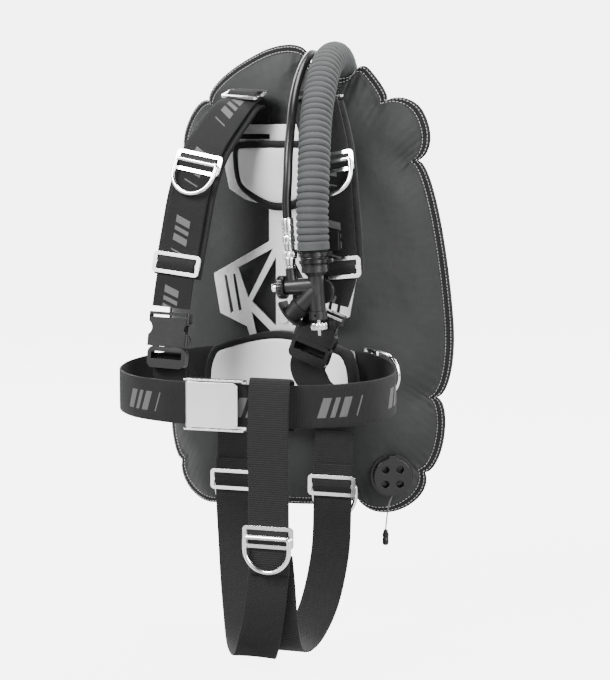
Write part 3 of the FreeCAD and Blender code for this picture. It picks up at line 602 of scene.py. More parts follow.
def panel_vinyl(tree, shader, place, colours):
    """White coated cloth: faint pebble, a little handling dirt."""
    pebble = add(tree, "ShaderNodeTexVoronoi", Vector=place["Object"], Scale=700.0).outputs["Distance"]
    tone = use(tree, "tone", Vector=place["Object"], Scale=22.0)["Tone"]
    colour_and_gloss(tree, shader, colours.pad_panel, 0.93, 1.0, tone, (0.38, 0.5))
    soft = add(tree, "ShaderNodeTexNoise", Vector=place["Object"], Scale=30.0, Detail=2.0).outputs[0]
    under = bump(tree, shader, soft, 0.25, 0.003)
    bump(tree, shader, pebble, 0.25, 0.0003, under)


def metal_look(colour_name, gloss, grain_scale, relief=0.1):
    """Stainless steel: fine one-way grain, rubbed spots that shine more."""
    def look(tree, shader, place, colours):
        pulled = add(tree, "ShaderNodeMapping", Vector=place["Object"], Scale=(1.0, 1.0, grain_scale)).outputs[0]
        grain = add(tree, "ShaderNodeTexNoise", Vector=pulled, Scale=260.0, Detail=2.0).outputs[0]
        rubbed = use(tree, "wear", Vector=place["Object"], Scale=90.0)["Mask"]
        tone = calc(tree, "MULTIPLY_ADD", rubbed, 0.25, calc(tree, "MULTIPLY", grain, 0.75))
        colour_and_gloss(tree, shader, getattr(colours, colour_name), 0.88, 1.04, tone, gloss)
        bump(tree, shader, grain, relief, 0.0002)
        shader.inputs["Metallic"].default_value = 1.0
    return look


def rubber_look(colour_name, gloss, coat=0.0, sheen=0.28):
    """Moulded rubber or plastic: fine grain, scuffs that dull and lighten it."""
    def look(tree, shader, place, colours):
        colour = getattr(colours, colour_name)
        tone = use(tree, "tone", Vector=place["Object"], Scale=55.0)
        scuffed = use(tree, "wear", Vector=place["Object"], Scale=75.0)["Mask"]
        shade = calc(tree, "MULTIPLY_ADD", scuffed, 0.45, calc(tree, "MULTIPLY", tone["Tone"], 0.7))
        colour_and_gloss(tree, shader, colour, 0.75, 1.45, shade, gloss)
        bump(tree, shader, tone["Fine"], 0.12, 0.0003)
        shader.inputs["Specular IOR Level"].default_value = sheen
        shader.inputs["Coat Weight"].default_value = coat
        shader.inputs["Coat Roughness"].default_value = 0.22
    return look


def braid(tree, shader, place, colours):
    """Braided cord: two slants of yarn crossing, darker in colour where the yarns lie low, which is painted shade."""
    weave = use(tree, "weave", Vector=add(tree, "ShaderNodeMapping", Vector=place["UV"],
                                          Rotation=(0, 0, math.pi / 4)).outputs[0], Pitch=0.0011)["Height"]
    tone = use(tree, "tone", Vector=place["Object"], Scale=60.0)["Tone"]
    # colour factor: painted shade where the weave lies low (0.6) and random tone (0.4)
    shade = calc(tree, "MULTIPLY_ADD", weave, 0.6, calc(tree, "MULTIPLY", tone, 0.4))
    colour_and_gloss(tree, shader, colours.cord, 0.6, 1.3, shade, (0.6, 0.8))
    bump(tree, shader, weave, 0.6, 0.0003)


def sewing_thread(tree, shader, place, colours):
    """Twisted polyester thread: fine slanting ply."""
    ply = add(tree, "ShaderNodeTexNoise", Vector=place["Object"], Scale=900.0, Detail=1.0).outputs[0]
    colour_and_gloss(tree, shader, colours.thread, 0.75, 1.15, ply, (0.5, 0.7))
    bump(tree, shader, ply, 0.3, 0.0002)


def bladder_film(tree, shader, place, colours):
    """The welded inner bag: smooth tinted film with flow lines."""
    tone = use(tree, "tone", Vector=place["Object"], Scale=14.0)["Tone"]
    colour_and_gloss(tree, shader, colours.bladder, 0.85, 1.1, tone, (0.25, 0.4))
    bump(tree, shader, tone, 0.2, 0.002)


FINISHES = {
    "wing_cloth": wing_cloth,
    "hem_tape": hem_tape,
    "ribbed_webbing": webbing_look(0.0026, 0.0021, 0.35),
    "belt_webbing": webbing_look(0.0017, 0.0016, 0.9, (0.042, 0.098, 0.0115)),
    "shoulder_webbing": webbing_look(0.0016, 0.0016, 0.9, (0.012, 0.086, 0.0095)),
    "plain_webbing": webbing_look(0.0017, 0.0016, 0.9),
    "pad_cloth": pad_cloth,
    "panel_vinyl": panel_vinyl,
    "plate_steel": metal_look("plate_steel", (0.34, 0.48), 1.0, 0.06),
    "polished_steel": metal_look("plate_steel", (0.1, 0.2), 0.1, 0.05),
    "brushed_steel": metal_look("plate_steel", (0.16, 0.3), 0.04, 0.12),
    "chrome": metal_look("plate_steel", (0.06, 0.16), 1.0, 0.03),
    "spring_steel": metal_look("plate_steel", (0.22, 0.34), 1.0, 0.05),
    "hose_rubber": rubber_look("hose_rubber", (0.2, 0.32), sheen=0.14),
    "lp_rubber": rubber_look("moulding_black", (0.28, 0.42), 0.1),
    "keeper_rubber": rubber_look("moulding_black", (0.5, 0.65)),
    "grey_moulding": rubber_look("moulding_grey", (0.3, 0.44), 0.1),
    "black_moulding": rubber_look("moulding_black", (0.24, 0.38), 0.2),
    "braid": braid,
    "thread": sewing_thread,
    "bladder_film": bladder_film,
}


def finish(name):
    """The named finish, made the first time it is asked for."""
    if name in bpy.data.materials:
        return bpy.data.materials[name]
    material = bpy.data.materials.new(name)
    material.use_nodes = True
    tree = material.node_tree
    shader = tree.nodes["Principled BSDF"]
    place = add(tree, "ShaderNodeTexCoord").outputs
    FINISHES[name](tree, shader, place, bpy.context.scene.vest_colours)
    return material


def refinish(look, *nodes):
    """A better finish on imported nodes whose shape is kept."""
    for node in nodes:
        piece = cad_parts[node]
        for slot in piece.material_slots:
            slot.material = finish(look)
        if not piece.material_slots:
            piece.data.materials.append(finish(look))


# ---------------------------------------------------------------- camera and stage

def place_camera():
    """The camera stands 2.5 m off, 20 degrees to the wearer's left and 4 degrees up, and looks just below the plate."""
    turn, rise, away = math.radians(20), math.radians(4), 2.5
    right = np.array([math.cos(turn), math.sin(turn), 0])
    back = np.array([math.sin(turn) * math.cos(rise), -math.cos(turn) * math.cos(rise), math.sin(rise)])
    up = np.cross(back, right)
    aim = Vector(right * 0.025 - up * 0.0875)
    lens = bpy.data.cameras.new("camera")
    lens.lens = 105.88
    lens.sensor_width = 36.0
    camera = bpy.data.objects.new("camera", lens)
    camera.location = Vector(back * away)
    camera.rotation_euler = (aim - camera.location).to_track_quat("-Z", "Y").to_euler()
    bpy.context.scene.collection.objects.link(camera)
    bpy.context.scene.camera = camera


def area_light(name, at, size, power, aim=(0, 0, -0.08)):
    light = bpy.data.lights.new(name, "AREA")
    light.shape = "DISK"
    light.size = size
    light.energy = power
    lamp = bpy.data.objects.new(name, light)
    lamp.location = at
    lamp.rotation_euler = (Vector(aim) - Vector(at)).to_track_quat("-Z", "Y").to_euler()
    bpy.context.scene.collection.objects.link(lamp)


def make_stage():
    """A pale floor that turns up into a wall all round, so no edge shows from any side."""
    floor_z, flat, bend, top = -0.47, 4.5, 2.5, 6.0
    turn = np.linspace(0, math.pi / 2, 14)
    profile = np.vstack([[(0.0, floor_z), (1.5, floor_z), (flat, floor_z)],
                         np.stack([flat + bend * np.sin(turn), floor_z + bend * (1 - np.cos(turn))], axis=1),
                         [(flat + bend, top)]])
    floor = turned("studio_floor", profile * 1000, (0, 0, 0), np.eye(3), sides=96)
    material = bpy.data.materials.new("studio_paper")
    material.use_nodes = True
    tree = material.node_tree
    tree.nodes.remove(tree.nodes["Principled BSDF"])
    place = add(tree, "ShaderNodeTexCoord").outputs
    fibre = add(tree, "ShaderNodeTexNoise", Vector=place["Object"], Scale=3.0, Detail=2.0).outputs[0]
    matt = add(tree, "ShaderNodeBsdfDiffuse", Color=mixed(tree, fibre, (0.26, 0.26, 0.26, 1), (0.28, 0.28, 0.28, 1)))
    ray = add(tree, "ShaderNodeLightPath").outputs
    seen = calc(tree, "MULTIPLY_ADD", ray["Is Camera Ray"], GLOW_SEEN, GLOW_AROUND)
    spot = add(tree, "ShaderNodeSeparateXYZ", Vector=place["Object"]).outputs
    round_about = calc(tree, "ARCTAN2", spot[1], spot[0])
    strips = spread(tree, calc(tree, "SINE", calc(tree, "MULTIPLY", round_about, 5.0)), -0.35, 0.2, 0.12, 1.0)
    softbox = calc(tree, "MULTIPLY", strips, spread(tree, spot[2], -0.3, 1.2, 0.35, 1.0))
    reflected = calc(tree, "MULTIPLY", calc(tree, "MULTIPLY", softbox, ray["Is Glossy Ray"]), GLOW_REFLECTED)
    seen = calc(tree, "ADD", reflected, seen)
    glow = add(tree, "ShaderNodeEmission", Strength=seen)
    both = add(tree, "ShaderNodeAddShader")
    tree.links.new(matt.outputs[0], both.inputs[0])
    tree.links.new(glow.outputs[0], both.inputs[1])
    tree.links.new(both.outputs[0], tree.nodes["Material Output"].inputs["Surface"])
    floor.data.materials.append(material)
    world = bpy.context.scene.world or bpy.data.worlds.new("studio")
    bpy.context.scene.world = world
    world.use_nodes = True
    sky = world.node_tree.nodes.get("Background") or world.node_tree.nodes.new("ShaderNodeBackground")
    sky.inputs[0].default_value = (1, 1, 1, 1)
    sky.inputs[1].default_value = SKY
    area_light("key_light", (-1.3, -2.3, 2.0), 1.5, KEY_POWER)
    area_light("fill_light", (2.3, -1.6, 0.9), 1.6, KEY_POWER * 0.45)
    area_light("top_light", (0.1, 0.4, 2.6), 1.4, KEY_POWER * 0.5)
    area_light("back_left_light", (1.8, 2.2, 1.3), 1.5, KEY_POWER * 0.5)
    area_light("back_right_light", (-1.8, 2.2, 1.3), 1.5, KEY_POWER * 0.5)


# The paper's own glow: to the camera, in reflections and on everything
GLOW_SEEN, GLOW_REFLECTED, GLOW_AROUND, SKY, KEY_POWER = 5.6, 3.0, 0.05, 0.08, 190.0

# ---------------------------------------------------------------- hoses and cord

HOSE_ROUTE = [
    (57, 62, 192), (57, 62, 212), (57, 62.8, 232.7), (57.4, 51.5, 252.2), (58.4, 32, 263.5), (60, 9, 263.5),
    (62, -14, 257.5), (64, -36, 243.5), (66, -55, 225), (68, -73, 202), (71.5, -91, 176), (75.5, -106, 148),
    (78.5, -117.5, 118), (80, -125, 89), inflator_point(0, 0, 26), tuple(INFLATOR_AT),
]
LP_ROUTE = [
    inflator_point(-30, 0, 39.5), inflator_point(-30, 0, 59), (49.5, -126, 116), (47.5, -119, 144),
    (45.5, -106, 172), (41.5, -88, 198), (37.5, -66, 221), (34.5, -40, 243), (32.5, -14, 259), (31.5, 11, 268.5),
    (31, 36, 265), (30.5, 50, 250), (29.5, 54, 227), (27, 50.5, 199), (25, 47, 170), (26, 45.5, 141),
    (30, 46, 113), (37, 47, 86), (45, 48.5, 60), (51, 50, 34), (54, 51, 11),
]
DUMP_CORD_ROUTE = [(132.76, 28.25, -282), (129, 26.5, -293), (127, 27, -304), (125.5, 27.5, -315),
                   (124.5, 27.5, -326)]


def make_corrugated_hose(sizes):
    """A tube whose radius follows a row of near half circles along its run; both ends run out into plain cuffs."""
    line = route_line("inflator_hose_line", HOSE_ROUTE)
    pitch, depth, crest = sizes.rib_pitch, sizes.rib_depth, 0.0194
    plain_top, plain_low = 0.017, 0.003
    total = runs_of(line)[-1]
    path = evenly(line, 14 * int(total / pitch))
    run = runs_of(path)
    across = 2 * (((run - plain_top) / pitch) % 1.0) - 1
    wave = np.sqrt(1 - 0.94 * across ** 2)
    ribbed = ease(plain_top, plain_top + pitch, run) * (1 - ease(total - plain_low - pitch, total - plain_low, run))
    radius = crest - depth * (1 - wave) * ribbed - 0.0004 * (1 - ribbed)
    hose = skin("corrugated_hose_rubber", tube(path, radius, sides=44), ends=True, sharp=60)
    cast(hose, "hose_rubber", None, ["corrugated_hose"])
    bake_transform(hose)


def make_low_pressure_hose(sizes):
    """The plain hose beside the big one, from the inflator over the wing and down behind it."""
    path = evenly(route_line("low_pressure_line", LP_ROUTE), 260)
    hose = skin("low_pressure_hose_rubber", tube(path, LP_R * 0.001, sides=24), ends=True, sharp=60)
    cast(hose, "lp_rubber", None, ["lp_hose"])
    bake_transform(hose)
    end = softened("low_pressure_hose_fitting", ["lp_hose_end"], "chrome", "harness", 0.4)


def make_dump_cord(sizes):
    """The thin braided pull cord of the dump valve and its turned toggle."""
    path = evenly(route_line("dump_cord_line", DUMP_CORD_ROUTE), 60)
    run = runs_of(path)
    braid_r = CORD_R * 0.001 * (1 + 0.06 * np.sin(math.tau * run / 0.0018))
    cord = cast(skin("dump_pull_cord", tube(path, braid_r, sides=12), ends=True), "braid", "dump_pull",
                ["dump_cord"])
    end = np.array(DUMP_CORD_ROUTE[-1], float)
    profile = [(0, 0), (1.6, 0), (2.6, 0.5), (3.0, 1.6), (3.0, 3.0), (3.8, 3.8), (4.0, 6), (4.0, 9), (3.6, 9.6),
               (3.6, 10.6), (4.0, 11.2), (4.0, 16), (3.7, 18.4), (2.6, 19.6), (1.2, 20), (0, 20)]
    toggle = cast(turned("dump_pull_toggle", profile, end, turned_axes(X_AXIS, -Z_AXIS), sides=28),
                  "black_moulding", "dump_pull", ["dump_toggle"])


# ---------------------------------------------------------------- wing

def wing_outline(per_lobe=48):
    """The scalloped outline: each lobe is a half ellipse over the line from its notch to the next, stretched so
    that its top stands over its own foot on that line."""
    notch, crown = (np.array(part, float)[:, None] for part in zip(*WING_LOBES))
    chord = np.roll(notch, -1, axis=0) - notch
    length = np.linalg.norm(chord, axis=-1, keepdims=True)
    outward = np.stack([-chord[..., 1], chord[..., 0]], axis=-1) / length
    foot = ((crown - notch) * chord).sum(axis=-1, keepdims=True) / length ** 2
    height = ((crown - notch) * outward).sum(axis=-1, keepdims=True)
    turn = (math.pi * np.arange(per_lobe) / per_lobe)[None, :, None]
    share = foot - np.where(turn < math.pi / 2, foot, 1 - foot) * np.cos(turn)
    return (notch + chord * share + outward * height * np.sin(turn)).reshape(-1, 2)


def smoothed(outline, spread_over):
    """The outline blurred along itself by a bell curve, which fills its notches and rounds its lobes."""
    step = np.arange(len(outline))
    gap = np.minimum(step, len(outline) - step)
    bell = np.exp(-(gap / spread_over) ** 2)
    mixed_in = np.fft.fft(bell / bell.sum())
    return np.stack([np.fft.ifft(np.fft.fft(outline[:, k]) * mixed_in).real for k in (0, 1)], axis=1)


def to_hem(points, hem):
    """Distance from each point to the nearest point of the hem."""
    flat = points.reshape(-1, 2)
    near = [np.sqrt(((part[:, None] - hem) ** 2).sum(axis=-1)).min(axis=1) for part in np.array_split(flat, 60)]
    return np.concatenate(near).reshape(points.shape[:-1])


def drawn_in(outline, inset):
    """Outline points moved towards the wing's spine."""
    spine = np.stack([np.zeros(len(outline)), np.clip(outline[:, 1], SPINE_LOW, SPINE_HIGH)], axis=1)
    reach = np.linalg.norm(outline - spine, axis=1, keepdims=True)
    return spine + (outline - spine) * (1 - inset / reach)


def on_wing(flat, lift):
    """A place on the wing's curve from its front view and its height over the middle surface, in metres."""
    radius = WING_R - WING_T / 2 + lift
    y = WING_AXIS_Y - np.sqrt(radius ** 2 - flat[..., 0] ** 2)
    return np.stack([flat[..., 0], y, flat[..., 1]], axis=-1) * 0.001


def wing_grid(inset, hem, full, share_behind, crease_depth):
    """Both faces in one grid of rings: the outer ones pass from the scalloped hem to its blurred line, the inner
    ones shrink to a pole. Height over the middle surface is a quarter ellipse of the distance from the hem, less
    creases that run in from each notch, plus gathers along the hem and slow waves. Also gives the front view."""
    edge = evenly(drawn_in(wing_outline(), inset), 600, closed=True)
    pole = np.array(WING_POLE)
    inner = pole + (smoothed(edge, 26) - pole) * 0.8
    outer_rings, inner_rings = 22, 26
    share = (np.linspace(0, 1, outer_rings) ** 1.25)[:, None, None]
    flat = np.concatenate([edge + (inner - edge) * share,
                           pole + (inner - pole) * (1 - np.linspace(0, 1, inner_rings))[1:, None, None]])
    depth = to_hem(flat, edge)
    along = runs_of(edge, closed=True)[:-1]
    rise = np.sqrt(1 - (1 - np.clip(depth / 60, 0, 1)) ** 2)
    from_notch = to_hem(flat, drawn_in(np.array([notch for notch, _ in WING_LOBES], float), inset))
    crease = crease_depth * np.exp(-(from_notch / 30) ** 2) * np.clip(depth / 6, 0, 1)
    gather = 0.6 * np.sin(along * math.tau / 12 + 2.5 * np.sin(along / 31)) * np.exp(-depth / 16)
    gather *= np.clip(depth / 3, 0, 1) * (0.25 + np.exp(-(from_notch / 40) ** 2))
    x, z = flat[..., 0], flat[..., 1]
    slow = 0.9 * np.sin(x / 27 + z / 61) + 0.7 * np.sin(z / 33 - x / 71 + 1.0) + 0.5 * np.sin((x + z) / 17)
    slow *= ease(8, 50, depth) * ease(40, 95, np.abs(x) + 0.2 * np.abs(z))
    front = hem + full * rise - crease + gather + slow
    back = hem + full * rise * share_behind - crease + gather - slow
    grid = np.concatenate([on_wing(flat, front)[::-1], on_wing(flat, -back)])
    return grid, np.concatenate([flat[::-1], flat]) * 0.001


def make_wing(sizes):
    """The cloth cover, and the film bag inside it, which is the same form drawn in and half as deep."""
    hem = 1.8
    grid, planar = wing_grid(BINDING_W - 1.5, hem, WING_T / 2 + sizes.wing_puff * 500 - hem, 0.92, 3.6)
    cover = skin("wing_cover", grid, sharp=70, planar=planar)
    wing = cast(cover, "wing_cloth", "harness", ["wing_shell"])
    grid, planar = wing_grid(BINDING_W + 14, 0.4, WING_T / 4, 1.0, 1.2)
    bag = skin("wing_inner_bag", grid, sharp=70, planar=planar)
    cast(bag, "bladder_film", "harness", ["inner_bladder"])


def capsule(length, radius, sides=6):
    """A stitch: four rings along x that swell and close, lying a little flat."""
    along = np.array([-0.5, -0.32, 0.32, 0.5]) * length
    swell = np.array([0.35, 1.0, 1.0, 0.35]) * radius
    ring = circle(1.0, sides) * (1.0, 0.7)
    points = np.concatenate([np.broadcast_to(along[:, None, None], (4, sides, 1)), swell[:, None, None] * ring], axis=2)
    return points.reshape(-1, 3), sheet_faces(4, sides, False, True)[1]


def stitch_row(outline, inset, lift, spacing):
    """Places and axes of the stitches of one row, the same distance apart along the hem."""
    row = drawn_in(outline, inset)
    total = runs_of(row, closed=True)[-1]
    spots = evenly(row, int(total / spacing), closed=True)
    ahead, behind = np.roll(spots, -1, axis=0), np.roll(spots, 1, axis=0)
    at = on_wing(spots, lift)
    along = unit(on_wing(ahead, lift) - on_wing(behind, lift))
    outward = unit(on_wing(spots, lift + np.sign(lift)) - at)
    side = unit(np.cross(outward, along))
    return at, np.stack([along, side, np.cross(along, side)], axis=1)


def make_hem(sizes):
    """Tape folded over the wing's edge, a flattened round in section, and two rows of stitches on each face."""
    outline = evenly(wing_outline(), 700, closed=True)
    along = runs_of(outline, closed=True)[:-1]
    near = np.exp(-(to_hem(outline, np.array([notch for notch, _ in WING_LOBES], float)) / 16) ** 2)
    section = stadium(BINDING_W + 1.5, BINDING_T, flats=7, rounds=5)
    middle = drawn_in(outline, BINDING_W / 2 + 0.4)
    inward = unit(drawn_in(outline, BINDING_W) - outline)
    flat = middle[:, None] + inward[:, None] * section[None, :, :1]
    ripple = 0.35 * (0.4 + near) * np.sin(along * math.tau / 9)
    hem = skin("wing_hem", on_wing(flat, section[None, :, 1] + ripple[:, None]), round_rows=True, sharp=70)
    cast(hem, "hem_tape", "harness", ["wing_edge_binding"])
    template, faces = capsule(sizes.stitch_length, 0.0005)
    rows = [stitch_row(outline, inset, lift * (BINDING_T / 2 + 0.25), sizes.stitch_spacing * 1000)
            for inset in (2.6, 8.2) for lift in (1, -1)]
    places, axes = (np.concatenate(part) for part in zip(*rows))
    stitches = many("wing_hem_stitches", template, faces, places, axes)
    cast(stitches, "thread", "harness")


# ---------------------------------------------------------------- backplate and its pads

UPPER_PAD = mirrored([(0, 161), (58, 161), (64, 154), (61, 112), (50, 96), (18, 76), (0, 74)])
UPPER_PANEL = mirrored([(0, 152), (53, 152), (56, 148), (54, 112), (46, 102), (16, 86), (0, 84)])
LOWER_PAD = mirrored([(0, -74), (30, -78), (78, -92), (92, -98), (102, -130), (98, -184), (80, -190), (0, -192)])
LOWER_PANEL = mirrored([(0, -83), (28, -86), (72, -99), (84, -104), (92, -131), (88, -176), (76, -181), (0, -182)])


def drawn_to(outline, pole, rows):
    """Rings of a flat outline: each row is a share of the reach from the pole, less an inset, at a depth y."""
    reach = outline - pole
    rows = np.array(rows, float)[:, None]
    away = np.linalg.norm(reach, axis=1)[None, :, None]
    flat = pole + unit(reach) * np.maximum(rows[..., :1] * away - rows[..., 1:2], 0)
    depth = np.broadcast_to(rows[..., 2:], flat.shape[:2] + (1,))
    return np.concatenate([flat[..., :1], depth, flat[..., 1:]], axis=2)


def make_back_pads(sizes):
    """Each pad is a closed crowned form with a rolled rim; its white panel is a thin crowned face let into the rim."""
    for name, pad, panel, pole, face in (("upper", UPPER_PAD, UPPER_PANEL, (0, 118), -19.0),
                                         ("lower", LOWER_PAD, LOWER_PANEL, (0, -136), -23.0)):
        pole, back = np.array(pole, float), -3.3
        outline = evenly(eased(pad), 260, closed=True)
        rows = [(0, 0, face), (0.5, 0, face), (1, 13, face), (1, 9.5, face - 0.4), (1, 8, face - 1.6),
                (1, 5.5, face - 2.2), (1, 3, face - 1.4), (1, 1, face + 0.8), (1, 0, face + 3.2),
                (1, 0.3, (face + back) / 2), (1, 0, back - 2.4), (1, 1.2, back - 0.5), (1, 3.5, back), (0.4, 0, back),
                (0, 0, back)]
        foam = skin(f"{name}_pad_cushion", drawn_to(outline, pole, rows) * 0.001, sharp=70)
        cast(foam, "pad_cloth", "harness", [f"{name}_pad"])
        outline = evenly(eased(panel), 260, closed=True)
        rows = [(0, 0, -3.3), (0.3, 0, -3.25), (0.6, 0, -3.0), (0.8, 0, -2.7), (1, 5, -2.3), (1, 2.2, -1.9),
                (1, 0.8, -1.2), (1, 0, -0.5), (1, 0.6, -0.2), (0, 0, -0.2)]
        rows = [(share, inset, face + y) for share, inset, y in rows]
        front = skin(f"{name}_pad_white_panel", drawn_to(outline, pole, rows) * 0.001, sharp=70)
        cast(front, "panel_vinyl", "harness", [f"{name}_pad_panel"])


def make_backplate(sizes):
    softened("backplate_steel", ["backplate"], "plate_steel", "harness", 0.7)
    softened("wing_bolt_grommets", ["wing_grommets"], "brushed_steel", "harness", 0.4)
    softened("wing_holding_screws", ["wing_screws"], "brushed_steel", "harness", 0.5)


# ---------------------------------------------------------------- straps

def strap_grid(path, across, width, thick, lift=0.0, curl=0.0):
    """A strap's section carried along its path; curl lifts its two edges by a little, in slow waves."""
    _, side, out = frames(path, across)
    section = stadium(width, thick) * 0.001
    run = runs_of(path)
    lift = np.broadcast_to(np.asarray(lift, float) * 0.001, (len(path),))[:, None]
    edge = (section[:, 0] / (width * 0.0005)) ** 2
    raised = section[None, :, 1] + lift + curl * 0.001 * edge * np.sin(run / 0.019)[:, None]
    return path[:, None] + side[:, None] * section[None, :, :1] + out[:, None] * raised[..., None]


def strap(name, route, look, nodes=(), across=X_AXIS, width=WEB_W, thick=WEB_T, body="harness", curl=0.25,
          lift=None, per_run=9):
    """A strap along a flowing line through its route's points."""
    path = flowing(mm(route), per_run)
    lift = 0.0 if lift is None else np.interp(np.arange(len(path)) / per_run, np.arange(len(route)), lift)
    piece = skin(name, strap_grid(path, across, width, thick, lift, curl), ends=True, sharp=60)
    return cast(piece, look, body, nodes)


def make_shoulder_straps(sizes):
    """Each side: a crowned pad with taped edges, and webbing that rises from the plate and lies over it."""
    for side, route in SHOULDER_ROUTE.items():
        path = evenly(flowing(mm(route[PAD_FROM:PAD_TO])), 120)
        run = runs_of(path)
        from_end = np.minimum(run, run[-1] - run)
        round_end = np.sqrt(1 - (1 - np.clip(from_end / 0.007, 0, 1)) ** 2) * 0.75 + 0.25
        seams = np.exp(-((run[:, None] - run[-1] * np.array([0.2, 0.72])) / 0.0022) ** 2).sum(axis=1)
        turn = math.tau * np.arange(44) / 44
        across = np.sign(np.cos(turn)) * np.abs(np.cos(turn)) ** 0.4 * (PAD_W / 2 - 1.0) * 0.001
        crown = np.sign(np.sin(turn)) * np.abs(np.sin(turn)) ** 0.6 * PAD_T * 0.0005
        _, wide, out = frames(path, X_AXIS)
        height = crown[None] * (round_end * (1 - 0.22 * seams))[:, None]
        grid = path[:, None] + wide[:, None] * across[None, :, None] + out[:, None] * height[..., None]
        pad = skin(f"{side}_shoulder_cushion", grid, ends=True, sharp=70)
        cast(pad, "pad_cloth", "harness", [f"{side}_shoulder_pad"])
        for edge, label in ((-1, "inner"), (1, "outer")):
            shifted = path + wide * edge * (PAD_W / 2 - 3.2) * 0.001
            tape = skin(f"{side}_shoulder_pad_tape_{label}", strap_grid(shifted, X_AXIS, 7.4, 5.6, 0.0, 0.0), ends=True,
                        sharp=60)
            cast(tape, "hem_tape", "harness")
        lift = [0, 0, 1.5] + [WEB_LIFT] * (len(route) - PAD_FROM)
        strap(f"{side}_shoulder_strap", route, "shoulder_webbing", [f"{side}_shoulder_webbing"], lift=lift)


def from_buckle(side, back, down):
    """A point behind a buckle's middle plane, and down from its top."""
    tilt = unit(np.array(BUCKLE_TILT[side]))
    across = unit(X_AXIS - tilt * tilt[0])
    return tuple(np.array(BUCKLE_TOP[side]) + tilt * down + np.cross(across, tilt) * back)


def make_lower_webbing(sizes):
    """The short straps under the side-release buckles: they shorten as the plug is drawn down."""
    for side, ends in LOWER_ENDS.items():
        route = [from_buckle(side, TAIL_BACK, 50), from_buckle(side, TAIL_BACK, 64),
                 from_buckle(side, TAIL_BACK + 5, 80)] + ends
        piece = strap(f"{side}_lower_strap", route, "plain_webbing", ["lower_webbing"], width=WEB_W - 6, body=None)
        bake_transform(piece)


def make_waist_belt(sizes):
    """Both belt halves round the hips; the left one runs on through the buckle, under its lever."""
    right = [(-x, y, z) for x, y, z in BELT_SIDE] + [BELT_END["right"]]
    strap("right_belt_webbing", right, "belt_webbing", ["right_waist_belt"], across=Z_AXIS)
    left = BELT_SIDE + [(44, -205, -143), (24, -207.5, -143), (0, -207.6, -143), (-38, -207.6, -143)]
    strap("left_belt_webbing", left[::-1], "belt_webbing", ["left_waist_belt"], across=Z_AXIS)


def make_crotch_straps(sizes):
    """The front strap hangs from a loop over the belt; two rear straps pass under and meet it."""
    strap("crotch_front_webbing", CROTCH_LOOP + CROTCH_FRONT[1:], "ribbed_webbing", ["crotch_front_strap"])
    for side, route in CROTCH_REAR.items():
        x = route[0][0]
        strap(f"crotch_rear_webbing_{side}", route, "ribbed_webbing", [f"crotch_rear_strap_{side}"])
        strap(f"crotch_anchor_webbing_{side}", [(x, -8, -197), (x, -9, -216), (x, -10.5, -262)], "ribbed_webbing")


# ---------------------------------------------------------------- metal and moulded hardware

def d_ring_line(count=160):
    """The middle of the wire: a straight bar, two short legs and a half round, its corners bent, not mitred."""
    half = RING_W / 2 - RING_WIRE
    leg = RING_H - RING_WIRE * 2 - half
    turn = np.linspace(0, math.pi, 40)
    bow = np.stack([half * np.cos(turn), -leg - half * np.sin(turn)], axis=1)
    corner = np.array([(-half, -3.0), (-half + 0.9, -0.9), (-half + 3.0, 0), (half - 3.0, 0), (half - 0.9, -0.9),
                       (half, -3.0)])
    return evenly(np.vstack([corner, bow]), count, closed=True)


def make_d_ring(name, node, body, at, axes):
    """Round wire carried along the ring's line."""
    line = d_ring_line()
    ahead = unit(np.roll(line, -1, axis=0) - np.roll(line, 1, axis=0))
    outward = np.stack([ahead[:, 1], -ahead[:, 0]], axis=1)
    wire = circle(RING_WIRE, 20)
    flat = line[:, None] + outward[:, None] * wire[None, :, :1]
    y = np.broadcast_to(wire[None, :, 1:], flat.shape[:2] + (1,))
    grid = np.concatenate([flat[..., :1], y, flat[..., 1:]], axis=2)
    ring = skin(name, placed(grid, at, axes) * 0.001, round_rows=True, sharp=70)
    cast(ring, "polished_steel", body, [node])


def make_glide_threading(sizes):
    """Where a strap is threaded through a tri-glide: it comes up behind the top bar, over the middle bar and down
    behind the bottom bar."""
    over = np.array([(0, 1.7, 12.5), (0, 0.9, 9.5), (0, -1.6, 5.2), (0, -3.3, 1.6), (0, -3.3, -1.6), (0, -1.6, -5.2),
                     (0, 0.9, -9.5), (0, 1.7, -12.5)], float)
    lift = WEB_T / 2 + GAP + GLIDE_T / 2
    spots = [("waist", BELT_SIDE + [BELT_END["left"]], -Z_AXIS, 43.0, lift, "plain_webbing")]
    spots += [("crotch", CROTCH_FRONT, X_AXIS, 178.0, lift, "ribbed_webbing")]
    for side, route in SHOULDER_ROUTE.items():
        spots += [(f"{side}_shoulder_{label}", route, X_AXIS, run, GLIDE_LIFT + extra, "plain_webbing")
                  for label, run, extra in (("top", 94.0, 4), ("ring", RING_RUN, 0), ("low", 322.0, 0))]
        spots += [(f"{side}_rear", CROTCH_REAR[side], X_AXIS, 26.0, lift, "ribbed_webbing")]
    for name, route, across, run, lift, look in spots:
        at, tangent, wide, out = station(route, across, run)
        axes = turned_axes(wide, -tangent)
        path = flowing(placed(over, at + out * lift, axes) * 0.001, 5)
        threading = skin(f"{name}_glide_threading", strap_grid(path, axes[0], WEB_W - 1, 1.9), ends=True, sharp=60)
        cast(threading, look, "harness")


